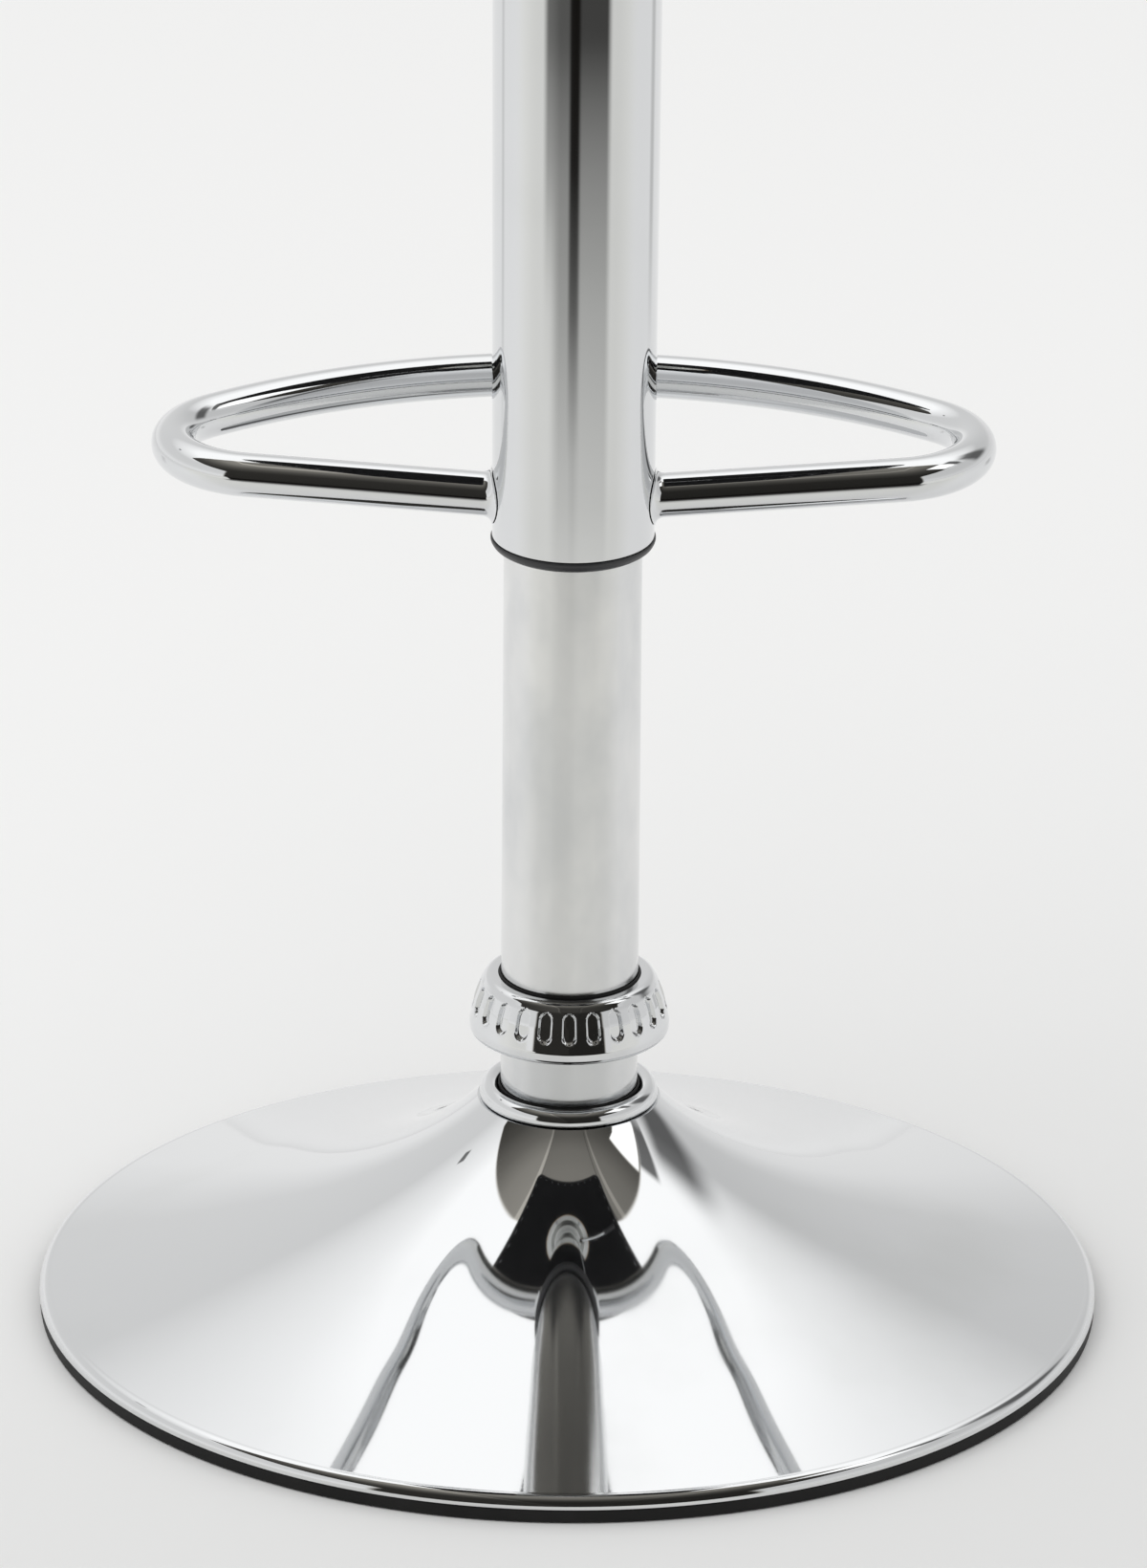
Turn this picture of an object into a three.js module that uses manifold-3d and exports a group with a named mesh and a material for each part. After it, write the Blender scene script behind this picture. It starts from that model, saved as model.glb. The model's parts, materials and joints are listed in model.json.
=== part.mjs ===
// A counter stool on a trumpet base: a gas lift carries a four-sided padded seat and a footrest loop.
// Millimetres, +Z up. The origin is on the floor, on the column's axis.
// The footrest loop reaches out along +Y and the release lever along +X.

import * as THREE from 'three';
import { mergeVertices } from 'three/addons/utils/BufferGeometryUtils.js';
import Module from 'manifold-3d';

const wasm = await Module();
wasm.setup();

// Fits
const seatGap = 0.3;          // between a piece and what carries it or is cut by it
const runningGap = 0.5;       // between a sliding piece and what it slides on
const cutOverrun = 1;         // how far a cutter runs past the face that it cuts
const mergeTolerance = 0.0001;

// Trumpet base
const rimRadius = 194;
const rimRollWidth = 4;
const rimShoulderHeight = 10.2;
const rimLipHeight = 5.4;
const neckHeight = 82.4;
const neckShoulder = 8.4;     // how far the neck's edge stands outside the column
const neckReach = 54.6;       // the flare's handle at the neck
const rimReach = 100.8;       // the flare's handle at the rim
const neckSlope = THREE.MathUtils.degToRad(43);
const rimSlope = THREE.MathUtils.degToRad(16.5);
const baseWall = 1.5;

// Column
const columnRadius = 25;
const columnWall = 2;
const columnFootHeight = 22;
const columnTopHeight = 500;
const collarHeight = 109;
const collarTall = 22;
const collarRadius = 36.5;
const pocketCount = 24;

// Bell, the chromed cover that slides over the column
const bellFootHeight = 302;
const bellTopHeight = 678;
const bellClearance = 2.8;    // between column and bell
const bellWall = 1.5;
const bellFlare = 1.8;        // how much wider the bell is at its top
const bellRingTall = 4.5;
const bellRingLip = 0.5;      // how far the ring stands out of the bell

// Footrest loop
const footrestHeight = 317;
const footrestTubeRadius = 8;
const footrestHalfWidth = 145.5;
const footrestDepth = 124.3;
const footrestCornerRadius = 34;
const footrestSetForward = 5.5;
const footrestSweep = THREE.MathUtils.degToRad(11.1);

// Gas lift
const cylinderRadius = 14;
const cylinderWall = 2;
const rodRadius = 5;
const bumpStopTall = 34;

// Seat
const seatWidth = 380;
const seatDepth = 350;
const seatCornerRadius = 32;
const seatThickness = 66;     // from the board's underside to the crown of the cushion
const boardThickness = 12;
const plateRadius = 66;

// Faces round a full turn
const wideFaces = 52;
const columnFaces = 36;
const smallFaces = 20;
const fastenerFaces = 8;

const finishes = {
  chrome: { color: 0xe4e6e8, roughness: 0.06, metalness: 1 },
  satinChrome: { color: 0xc9ccd0, roughness: 0.3, metalness: 1 },
  zinc: { color: 0xb4b6b4, roughness: 0.4, metalness: 1 },
  steel: { color: 0x8d8f92, roughness: 0.45, metalness: 1 },
  paintedSteel: { color: 0x1b1b1c, roughness: 0.5, metalness: 0.4 },
  rubber: { color: 0x151515, roughness: 0.85, metalness: 0 },
  blackPlastic: { color: 0x18181a, roughness: 0.45, metalness: 0 },
  palePlastic: { color: 0xd9d6cc, roughness: 0.5, metalness: 0 },
  plywood: { color: 0xc19a63, roughness: 0.7, metalness: 0 },
  cloth: { color: 0x141416, roughness: 0.95, metalness: 0 },
  vinyl: { color: 0x19191b, roughness: 0.42, metalness: 0 },
};

// Geometry helpers

function signedVolume(geometry) {
  const position = geometry.getAttribute('position');
  const index = geometry.getIndex();
  const [a, b, c] = [new THREE.Vector3(), new THREE.Vector3(), new THREE.Vector3()];
  let volume = 0;
  for (let i = 0; i < index.count; i += 3) {
    a.fromBufferAttribute(position, index.getX(i));
    b.fromBufferAttribute(position, index.getX(i + 1));
    c.fromBufferAttribute(position, index.getX(i + 2));
    volume += a.dot(b.cross(c)) / 6;
  }
  return volume;
}

// Merges the seams of a closed surface, drops its collapsed triangles and faces it outward.
function closeSurface(geometry) {
  const bare = geometry.clone();
  bare.deleteAttribute('normal');
  bare.deleteAttribute('uv');
  const merged = mergeVertices(bare, mergeTolerance);
  const source = merged.getIndex();
  const kept = [];
  for (let i = 0; i < source.count; i += 3) {
    const corners = [source.getX(i), source.getX(i + 1), source.getX(i + 2)];
    if (new Set(corners).size === 3) kept.push(...corners);
  }
  merged.setIndex(kept);
  if (signedVolume(merged) < 0) merged.setIndex(kept.reverse());
  return merged;
}

function toSolid(geometry) {
  const closed = closeSurface(geometry);
  return new wasm.Manifold(new wasm.Mesh({
    numProp: 3,
    vertProperties: new Float32Array(closed.getAttribute('position').array),
    triVerts: new Uint32Array(closed.getIndex().array),
  }));
}

function toGeometry(solid) {
  const mesh = solid.getMesh();
  const geometry = new THREE.BufferGeometry();
  geometry.setAttribute('position', new THREE.BufferAttribute(mesh.vertProperties, 3));
  geometry.setIndex(new THREE.BufferAttribute(mesh.triVerts, 1));
  return geometry;
}

function cut(geometry, ...cutters) {
  let solid = toSolid(geometry);
  for (const cutter of cutters) solid = solid.subtract(toSolid(cutter));
  return toGeometry(solid);
}

function join(...geometries) {
  const [first, ...rest] = geometries.map(toSolid);
  return toGeometry(rest.reduce((sum, next) => sum.add(next), first));
}

// A body of revolution about Z. The profile holds [radius, height] pairs and closes on itself.
function revolve(profile, faces) {
  const points = profile.map(([radius, height]) => new THREE.Vector2(radius, height));
  points.push(points[0].clone());
  return new THREE.LatheGeometry(points, faces).rotateX(Math.PI / 2);
}

function sleeve(innerRadius, outerRadius, height, faces) {
  return revolve([[innerRadius, 0], [outerRadius, 0], [outerRadius, height], [innerRadius, height]], faces);
}

// The [x, y] places of a number of copies on a circle, with the first at a share of a step past +X.
function aroundCircle(count, radius, startShare = 0) {
  return Array.from({ length: count }, (_, i) => {
    const angle = (i + startShare) * Math.PI * 2 / count;
    return [radius * Math.cos(angle), radius * Math.sin(angle)];
  });
}

// A solid round bar along Z from zero up to its height.
function bar(radius, height, faces) {
  return new THREE.CylinderGeometry(radius, radius, height, faces)
    .rotateX(Math.PI / 2)
    .translate(0, 0, height / 2);
}

function box(width, depth, height) {
  return new THREE.BoxGeometry(width, depth, height);
}

// Moves every point of an open outline sideways by a distance, to the right of its direction.
function offsetOutline(points, distance) {
  return points.map((point, i) => {
    const before = points[Math.max(i - 1, 0)];
    const after = points[Math.min(i + 1, points.length - 1)];
    const along = after.clone().sub(before).normalize();
    return new THREE.Vector2(point.x + along.y * distance, point.y - along.x * distance);
  });
}

// A planar path, given in the XY plane, as a curve in space.
class FlatCurve extends THREE.Curve {
  constructor(path) {
    super();
    this.path = path;
  }

  getPoint(t, target = new THREE.Vector3()) {
    const point = this.path.getPoint(t);
    return target.set(point.x, point.y, 0);
  }
}

function roundBarAlong(curve, radius, steps, faces) {
  const section = new THREE.Shape();
  section.absarc(0, 0, radius, 0, Math.PI * 2);
  return new THREE.ExtrudeGeometry(section, { steps, curveSegments: faces / 2, extrudePath: curve });
}

// A rectangle with round corners, centred on the axis, as a THREE shape.
function roundedRectangle(width, depth, cornerRadius) {
  const shape = new THREE.Shape();
  const [x, y] = [width / 2 - cornerRadius, depth / 2 - cornerRadius];
  shape.absarc(x, -y, cornerRadius, -Math.PI / 2, 0);
  shape.absarc(x, y, cornerRadius, 0, Math.PI / 2);
  shape.absarc(-x, y, cornerRadius, Math.PI / 2, Math.PI);
  shape.absarc(-x, -y, cornerRadius, Math.PI, Math.PI * 1.5);
  return shape;
}

function roundHole(x, y, radius) {
  const hole = new THREE.Path();
  hole.absarc(x, y, radius, 0, Math.PI * 2, true);
  return hole;
}

function slab(shape, thickness, curveSegments) {
  return new THREE.ExtrudeGeometry(shape, { depth: thickness, bevelEnabled: false, curveSegments });
}

// Base pieces

const neckRadius = columnRadius + neckShoulder;
const shoulderRadius = rimRadius - rimRollWidth;
const socketWall = 3;
const socketRadius = columnRadius + seatGap + socketWall;

// The outside of the base, from the hole in its top down the flare to where the rim's roll begins.
function flareOutline() {
  const neck = new THREE.Vector2(neckRadius, neckHeight);
  const shoulder = new THREE.Vector2(shoulderRadius, rimShoulderHeight);
  const neckHandle = new THREE.Vector2(Math.cos(neckSlope), -Math.sin(neckSlope)).multiplyScalar(neckReach);
  const rimHandle = new THREE.Vector2(-Math.cos(rimSlope), Math.sin(rimSlope)).multiplyScalar(rimReach);
  const flare = new THREE.CubicBezierCurve(neck, neckHandle.add(neck), rimHandle.add(shoulder), shoulder);
  const holeEdge = new THREE.Vector2(socketRadius + seatGap, neckHeight);
  return [holeEdge, ...flare.getSpacedPoints(8)];
}

// The rim's quarter roll, drawn in by an inset, without its first point.
function rollOutline(inset) {
  const [width, height] = [rimRollWidth - inset, rimShoulderHeight - rimLipHeight - inset];
  const roll = new THREE.EllipseCurve(shoulderRadius, rimLipHeight, width, height, Math.PI / 2, 0, true);
  return roll.getPoints(3).slice(1);
}

function innerOutline() {
  return [...offsetOutline(flareOutline(), baseWall), ...rollOutline(baseWall)];
}

function trumpetBase() {
  const wall = [...flareOutline(), ...rollOutline(0), ...innerOutline().reverse()];
  return revolve(wall.map((point) => [point.x, point.y]), wideFaces);
}

// The radius at which the inside of the flare comes down to a height.
function innerRadiusAt(height) {
  const outline = innerOutline();
  const i = outline.findIndex((point, k) => k > 1 && point.y <= height);
  const [above, below] = [outline[i - 1], outline[i]];
  return THREE.MathUtils.mapLinear(height, above.y, below.y, above.x, below.x);
}

function rimRubber() {
  const top = rimLipHeight - seatGap;
  const outer = rimRadius - seatGap;
  const width = 11;
  const beadRise = 2.2;
  const beadOuter = rimRadius - baseWall - seatGap;
  const beadDraw = 1.2;
  return revolve([
    [outer - width, 0],
    [outer, 0],
    [outer, top],
    [beadOuter, top],
    [beadOuter - beadDraw, top + beadRise],
    [outer - width, top + beadRise],
  ], wideFaces);
}

const plateHeight = 12;
const plateThickness = 4;

function supportPlate() {
  const reach = innerRadiusAt(plateHeight + plateThickness) - seatGap;
  return sleeve(socketRadius + seatGap, reach, plateThickness, wideFaces);
}

const columnFit = columnRadius + seatGap;

function baseSocket() {
  const ledgeInner = columnRadius - columnWall - seatGap;
  const ledgeTop = columnFootHeight - seatGap - plateHeight;
  const height = neckHeight - plateHeight;
  return revolve([
    [ledgeInner, 0],
    [socketRadius, 0],
    [socketRadius, height],
    [columnFit, height],
    [columnFit, ledgeTop],
    [ledgeInner, ledgeTop],
  ], columnFaces);
}

const sealWall = 1.5;

function columnSeal() {
  const height = 6.2;
  const chamfer = 1.2;
  return revolve([
    [columnFit, 0],
    [columnFit + sealWall, 0],
    [columnFit + sealWall, height - chamfer],
    [columnFit, height],
  ], columnFaces);
}

// The bezel: a flat foot, a rounded crest and a shallow fall towards the seal.
function neckRing() {
  const inner = columnFit + sealWall + seatGap;
  const outer = neckRadius - seatGap;
  const width = outer - inner;
  const height = 5.8;
  const profileShares = [[0, 0], [1, 0], [1, 0.35], [0.88, 0.72], [0.6, 0.98], [0.35, 1], [0, 0.74]];
  const profile = profileShares.map(([across, up]) => [inner + width * across, height * up]);
  return revolve(profile, columnFaces);
}

// Column pieces

function columnTube() {
  const height = columnTopHeight - columnFootHeight;
  const chamfer = columnWall / 4;
  return revolve([
    [columnRadius - columnWall, 0],
    [columnRadius, 0],
    [columnRadius, height - chamfer],
    [columnRadius - chamfer, height],
    [columnRadius - columnWall, height],
  ], columnFaces);
}

const linerWall = 1.5;
const linerFlange = 1.2;
const linerTopHeight = collarHeight + collarTall + seatGap + linerFlange;

function collarLiner() {
  const bore = columnFit;
  const flangeRadius = bore + 2 * linerWall;
  const height = collarTall + seatGap;
  return revolve([
    [bore, 0],
    [bore + linerWall, 0],
    [bore + linerWall, height],
    [flangeRadius, height],
    [flangeRadius, height + linerFlange],
    [bore, height + linerFlange],
  ], columnFaces);
}

// One upright pocket with round ends, which reaches along +X.
function pocketCutter(width, tall, depth) {
  const shape = new THREE.Shape();
  const straight = (tall - width) / 2;
  shape.absarc(0, straight, width / 2, 0, Math.PI);
  shape.absarc(0, -straight, width / 2, Math.PI, Math.PI * 2);
  return slab(shape, depth + cutOverrun, 2)
    .rotateX(Math.PI / 2)
    .rotateZ(Math.PI / 2);
}

// The side leans in towards the top, and each pocket is cut square into it at its middle corner.
function stopCollar() {
  const inner = columnFit + linerWall + seatGap;
  const width = collarRadius - inner;
  const sideShares = [[0, 0], [0.9, 0], [1, 0.05], [1, 0.18], [0.8, 0.6], [0.6, 0.86], [0.4, 1], [0, 1]];
  const side = sideShares.map(([across, up]) => [inner + width * across, collarTall * up]);
  const ring = revolve(side, pocketCount * 2);
  const [[lowRadius, lowHeight], [middleRadius, middleHeight], [highRadius, highHeight]] = side.slice(3, 6);
  const lean = Math.atan2(lowRadius - highRadius, highHeight - lowHeight);
  const pocketWidth = 5.4;
  const pocketTall = 11;
  const pocketDepth = 1.6;
  const floorRadius = middleRadius - pocketDepth * Math.cos(lean);
  const floorHeight = middleHeight - pocketDepth * Math.sin(lean);
  const pockets = Array.from({ length: pocketCount }, (_, i) => {
    const angle = i * Math.PI * 2 / pocketCount - Math.PI / 2;
    return pocketCutter(pocketWidth, pocketTall, pocketDepth)
      .rotateY(-lean)
      .translate(floorRadius, 0, floorHeight)
      .rotateZ(angle);
  });
  return cut(ring, ...pockets);
}

const boreRadius = columnRadius - columnWall;
const bushFlange = 3;

function guideBush() {
  const inner = cylinderRadius + seatGap;
  const bodyLength = 60;
  return revolve([
    [inner, 0],
    [boreRadius - seatGap, 0],
    [boreRadius - seatGap, bodyLength],
    [columnRadius, bodyLength],
    [columnRadius, bodyLength + bushFlange],
    [inner, bodyLength + bushFlange],
  ], columnFaces).translate(0, 0, -bodyLength);
}

// Thrust bearing, from the column foot up

const footRise = 2;
const footThickness = 6;
const raceThickness = 2;
const spigotRadius = rodRadius - 1;
const spigotFit = spigotRadius + seatGap;
const raceOuter = 13;
const ballRadius = 2.2;
const ballCount = 8;
const ballCircle = (raceOuter + spigotFit) / 2;

const footHeight = columnFootHeight + footRise;
const lowerRaceHeight = footHeight + footThickness + seatGap;
const ballHeight = lowerRaceHeight + raceThickness + seatGap / 3 + ballRadius;
const upperRaceHeight = ballHeight + ballRadius + seatGap / 3;
const shoulderHeight = upperRaceHeight + raceThickness + seatGap;

function columnFoot() {
  return sleeve(spigotFit, boreRadius - seatGap, footThickness, smallFaces);
}

function race() {
  return sleeve(spigotFit, raceOuter, raceThickness, smallFaces);
}

function bearingBall() {
  return new THREE.IcosahedronGeometry(ballRadius, 1);
}

function ballCage() {
  const thickness = 1.6;
  const cage = sleeve(spigotFit, raceOuter, thickness, smallFaces).translate(0, 0, -thickness / 2);
  const pocket = bar(ballRadius + seatGap / 2, thickness + 2 * cutOverrun, fastenerFaces);
  const ballPockets = aroundCircle(ballCount, ballCircle)
    .map(([x, y]) => pocket.clone().translate(x, y, -thickness / 2 - cutOverrun));
  return cut(cage, ...ballPockets);
}

// Rod, washer and clip

const washerThickness = 1.5;
const clipThickness = 1.5;
const washerHeight = footHeight - seatGap - washerThickness;
const clipHeight = washerHeight - seatGap - clipThickness;
const clipGroove = 1;
const rodTail = 3;
const rodFootHeight = clipHeight - rodTail;

function rodWasher() {
  return sleeve(spigotFit, spigotRadius * 2, washerThickness, smallFaces);
}

// An open spring ring that sits in the rod's groove.
function rodClip() {
  const inner = spigotRadius - clipGroove + seatGap;
  const outer = spigotRadius * 1.8;
  const mouth = spigotRadius;
  return cut(
    sleeve(inner, outer, clipThickness, smallFaces),
    box(outer + cutOverrun, mouth, clipThickness + 2 * cutOverrun)
      .translate((outer + cutOverrun) / 2, 0, clipThickness / 2),
  );
}

// The seat's travel: down to where the bell ring stands just above the collar's liner.
const strokeClearance = 1;
const seatTravel = bellFootHeight - bellRingTall - linerTopHeight - strokeClearance;
const cylinderFootHeight = shoulderHeight + bumpStopTall + seatTravel + strokeClearance;
const glandRise = 0.5;
const glandTall = 12;
const pistonLift = 6;
const pistonTall = 12;
const pistonHeight = cylinderFootHeight + glandRise + glandTall + pistonLift;

function pistonRod() {
  const grooveFoot = clipHeight - seatGap - rodFootHeight;
  const grooveTop = clipHeight + clipThickness + seatGap - rodFootHeight;
  const shoulder = shoulderHeight - rodFootHeight;
  const pistonSeat = pistonHeight - seatGap - rodFootHeight;
  const top = pistonHeight + pistonTall - rodFootHeight;
  return revolve([
    [0, 0],
    [spigotRadius, 0],
    [spigotRadius, grooveFoot],
    [spigotRadius - clipGroove, grooveFoot],
    [spigotRadius - clipGroove, grooveTop],
    [spigotRadius, grooveTop],
    [spigotRadius, shoulder],
    [rodRadius, shoulder],
    [rodRadius, pistonSeat],
    [spigotRadius, pistonSeat],
    [spigotRadius, top],
    [0, top],
  ], smallFaces);
}

const cylinderBore = cylinderRadius - cylinderWall;

function pistonHead() {
  const outer = cylinderBore - seatGap;
  const grooveDepth = 1.2;
  const grooveShares = [0.35, 0.65];
  const [grooveFoot, grooveTop] = grooveShares.map((share) => share * pistonTall);
  return revolve([
    [spigotFit, 0],
    [outer, 0],
    [outer, grooveFoot],
    [outer - grooveDepth, grooveFoot],
    [outer - grooveDepth, grooveTop],
    [outer, grooveTop],
    [outer, pistonTall],
    [spigotFit, pistonTall],
  ], smallFaces);
}

function bumpStop() {
  const inner = rodRadius + seatGap;
  const outer = 11;
  const waist = outer - 1.5;
  return revolve([
    [inner, 0],
    [outer, 0],
    [outer, bumpStopTall * 0.3],
    [waist, bumpStopTall * 0.5],
    [outer, bumpStopTall * 0.7],
    [outer, bumpStopTall],
    [inner, bumpStopTall],
  ], smallFaces);
}

// Rising pieces

const socketDrop = 13.7;      // how far the taper socket reaches below the seat plate
const panDepth = 20;
const panHeight = bellTopHeight + seatGap + socketDrop;
const boardHeight = panHeight + panDepth;
const seatTopHeight = boardHeight + seatThickness;
const leverRise = 13.5;
const leverHeight = panHeight + leverRise;
const leverRadius = 3.5;
const pinStandOut = 4;
const pinTopHeight = leverHeight - leverRadius - seatGap;
const cylinderTopHeight = pinTopHeight - pinStandOut;
const taperLength = 30;
const taperDraw = 0.9;
const pinRadius = 3;

function gasCylinder() {
  const height = cylinderTopHeight - cylinderFootHeight;
  const endWall = 16;
  const pinHole = pinRadius + seatGap;
  return revolve([
    [cylinderBore, 0],
    [cylinderRadius, 0],
    [cylinderRadius, height - taperLength],
    [cylinderRadius - taperDraw, height],
    [pinHole, height],
    [pinHole, height - endWall],
    [cylinderBore, height - endWall],
  ], smallFaces);
}

function cylinderGland() {
  return sleeve(rodRadius + seatGap, cylinderBore - seatGap, glandTall, smallFaces);
}

const pinLength = 14;

function releasePin() {
  const chamfer = 0.8;
  return revolve([
    [0, 0],
    [pinRadius, 0],
    [pinRadius, pinLength - chamfer],
    [pinRadius - chamfer, pinLength],
    [0, pinLength],
  ], fastenerFaces);
}

const bellInner = columnRadius + bellClearance;
const bellOuter = bellInner + bellWall;
const bellTall = bellTopHeight - bellFootHeight;

function bellTube() {
  return revolve([
    [bellInner, 0],
    [bellOuter, 0],
    [bellOuter + bellFlare, bellTall],
    [bellInner + bellFlare, bellTall],
  ], columnFaces);
}

// The bell's outside, widened by a gap, as a solid that cuts what is fitted to the bell.
function bellCutter(gap) {
  return revolve([
    [0, -cutOverrun],
    [bellOuter + gap, -cutOverrun],
    [bellOuter + bellFlare + gap, bellTall],
    [0, bellTall],
  ], columnFaces);
}

const bellCapTall = 18;

// A pressed cap: a disc round the gas cylinder with a skirt inside the top of the bell.
function bellCap() {
  const thickness = 3;
  const skirtThickness = 1.8;
  const inner = cylinderRadius + seatGap;
  const outer = bellInner + bellFlare * (bellTall - bellCapTall) / bellTall - seatGap;
  return revolve([
    [inner, bellCapTall - thickness],
    [outer - skirtThickness, bellCapTall - thickness],
    [outer - skirtThickness, 0],
    [outer, 0],
    [outer, bellCapTall],
    [inner, bellCapTall],
  ], columnFaces);
}

// The ring's side turns in towards the column at its foot.
function bellRing() {
  const inner = columnRadius + runningGap;
  const outer = bellOuter + bellRingLip;
  const spigotOuter = bellInner - seatGap;
  const spigotTall = 10;
  const lipTop = bellRingTall - seatGap;
  const sideShares = [[0.3, 0], [0.78, 0.3], [1, 0.72], [1, 1]];
  const side = sideShares.map(([across, up]) => [inner + (outer - inner) * across, lipTop * up]);
  return revolve([
    [inner, 0],
    ...side,
    [spigotOuter, lipTop],
    [spigotOuter, lipTop + spigotTall],
    [inner, lipTop + spigotTall],
  ], columnFaces);
}

// The footrest's centreline: a swept arm from each side of the bell, a tight corner and a wide arc.
function footrestPath() {
  const cornerX = footrestHalfWidth - footrestCornerRadius;
  const armRise = cornerX * Math.sin(footrestSweep) + footrestCornerRadius;
  const cornerY = armRise / Math.cos(footrestSweep) - footrestSetForward;
  const toArc = footrestDepth - cornerY;
  const chord = cornerX ** 2 + toArc ** 2 - footrestCornerRadius ** 2;
  const arcRadius = chord / (2 * (toArc - footrestCornerRadius));
  const arcY = footrestDepth - arcRadius;
  const armEnd = bellOuter / 2;
  const armEndY = armEnd * Math.tan(footrestSweep) - footrestSetForward;
  const bendStart = footrestSweep - Math.PI / 2;
  const bendEnd = Math.atan2(cornerY - arcY, cornerX);
  const path = new THREE.Path();
  path.moveTo(armEnd, armEndY);
  path.lineTo(
    cornerX + footrestCornerRadius * Math.cos(bendStart),
    cornerY + footrestCornerRadius * Math.sin(bendStart),
  );
  path.absarc(cornerX, cornerY, footrestCornerRadius, bendStart, bendEnd);
  path.absarc(0, arcY, arcRadius, bendEnd, Math.PI - bendEnd);
  path.absarc(-cornerX, cornerY, footrestCornerRadius, Math.PI - bendEnd, Math.PI - bendStart);
  path.lineTo(-armEnd, armEndY);
  return path;
}

// A weld bead: a short cone round an arm where it meets the bell.
function weldBead() {
  const reach = 3.2;
  const throat = 2.6;
  const root = bellOuter / 2;
  const bead = revolve([
    [0, -root],
    [footrestTubeRadius + throat, -root],
    [footrestTubeRadius + throat, 0],
    [footrestTubeRadius + throat / 2, reach / 2],
    [footrestTubeRadius, reach],
    [0, reach],
  ], 12);
  const armY = bellOuter * Math.tan(footrestSweep) - footrestSetForward;
  return bead.rotateY(Math.PI / 2).rotateZ(footrestSweep).translate(bellOuter, armY, 0);
}

function footrestLoop() {
  const loop = roundBarAlong(new FlatCurve(footrestPath()), footrestTubeRadius, 52, 10);
  const right = weldBead();
  const left = weldBead().scale(-1, 1, 1);
  const bell = bellCutter(seatGap).translate(0, 0, bellFootHeight - footrestHeight);
  return cut(join(loop, right, left), bell);
}

// Seat pieces

const panWall = 2;
const panFloorRadius = 40;
const panTopRadius = 54;
const flangeHeight = boardHeight - seatGap;
const taperSocketWall = 4;
const taperSocketOuter = cylinderRadius + seatGap + taperSocketWall;
const taperSocketHeight = bellTopHeight + seatGap;
const leverPivotX = 26;
const screwCount = 4;
const screwCircle = (panTopRadius + plateRadius) / 2;
const screwRadius = 2.8;
const screwFit = screwRadius + seatGap;

const screwPlaces = aroundCircle(screwCount, screwCircle, 0.5);

// A pressed round pan under the seat, with a slot in its side for the lever.
function seatPlate() {
  const rise = flangeHeight - panHeight;
  const pan = revolve([
    [taperSocketOuter + seatGap, 0],
    [panFloorRadius, 0],
    [panTopRadius, rise - panWall],
    [plateRadius, rise - panWall],
    [plateRadius, rise],
    [panTopRadius - panWall, rise],
    [panFloorRadius - panWall, panWall],
    [taperSocketOuter + seatGap, panWall],
  ], columnFaces);
  const slotWidth = 2 * leverRadius + 3;
  const slotDepth = panTopRadius - panFloorRadius + 4 * panWall;
  const slotTall = rise - panWall;
  const slot = box(slotDepth, slotWidth, slotTall)
    .translate((panTopRadius + panFloorRadius) / 2 + panWall, 0, slotTall / 2 - seatGap);
  const hole = bar(screwFit, panWall + 2 * cutOverrun, fastenerFaces);
  const holes = screwPlaces.map(([x, y]) => hole.clone().translate(x, y, rise - panWall - cutOverrun));
  return cut(pan, slot, ...holes);
}

function taperSocket() {
  const height = cylinderTopHeight - taperSocketHeight;
  const inner = cylinderRadius + seatGap;
  return revolve([
    [inner, 0],
    [taperSocketOuter, 0],
    [taperSocketOuter, height],
    [inner - taperDraw, height],
  ], smallFaces);
}

const bossRadius = 5.2;
const bossWidth = 9;
const pivotRadius = 2;
const pivotFit = pivotRadius + seatGap;
const earThickness = 2;
const earClearance = 0.4;
const earInner = bossWidth / 2 + earClearance;
const bracketHeight = panHeight + panWall + seatGap;

function crossBar(radius, length, faces) {
  return new THREE.CylinderGeometry(radius, radius, length, faces);
}

// Two ears on a strip, with a hole for the lever's pin through both.
function leverBracket() {
  const stripThickness = 1.5;
  const length = 12;
  const width = 2 * (earInner + earThickness);
  const earTall = leverHeight - bracketHeight + pivotRadius * 2;
  const strip = box(length, width, stripThickness).translate(0, 0, stripThickness / 2);
  const ears = [-1, 1].map((side) => box(length, earThickness, earTall)
    .translate(0, side * (earInner + earThickness / 2), earTall / 2));
  const hole = crossBar(pivotFit, width + 2 * cutOverrun, fastenerFaces)
    .translate(0, 0, leverHeight - bracketHeight);
  return cut(join(strip, ...ears), hole);
}

function leverPin() {
  const headRadius = pivotRadius * 1.6;
  const headThickness = 1.2;
  const reach = earInner + earThickness + seatGap;
  const shank = crossBar(pivotRadius, 2 * reach, fastenerFaces);
  const heads = [-1, 1].map((side) => crossBar(headRadius, headThickness, fastenerFaces)
    .translate(0, side * (reach + headThickness / 2 - seatGap / 3), 0));
  return join(shank, ...heads);
}

// The lever, relative to its pivot: level over the release pin, then down through the pan's slot.
const leverStretches = [-30, 10, 17, 28, 40, 54, 76, 90, 134];
const leverDropShares = [0, 0, 0.18, 0.44, 0.68, 0.86, 1, 1, 1];
const leverDrop = 19.5;
const gripLength = 44;
const gripWall = 3;

function leverRod() {
  const points = leverStretches.map((x, i) => new THREE.Vector3(x, 0, -leverDrop * leverDropShares[i]));
  const curve = new THREE.CatmullRomCurve3(points, false, 'centripetal');
  const rod = roundBarAlong(curve, leverRadius, 22, fastenerFaces);
  const boss = crossBar(bossRadius, bossWidth, 12);
  return cut(join(rod, boss), crossBar(pivotFit, bossWidth + 2 * cutOverrun, fastenerFaces));
}

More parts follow.
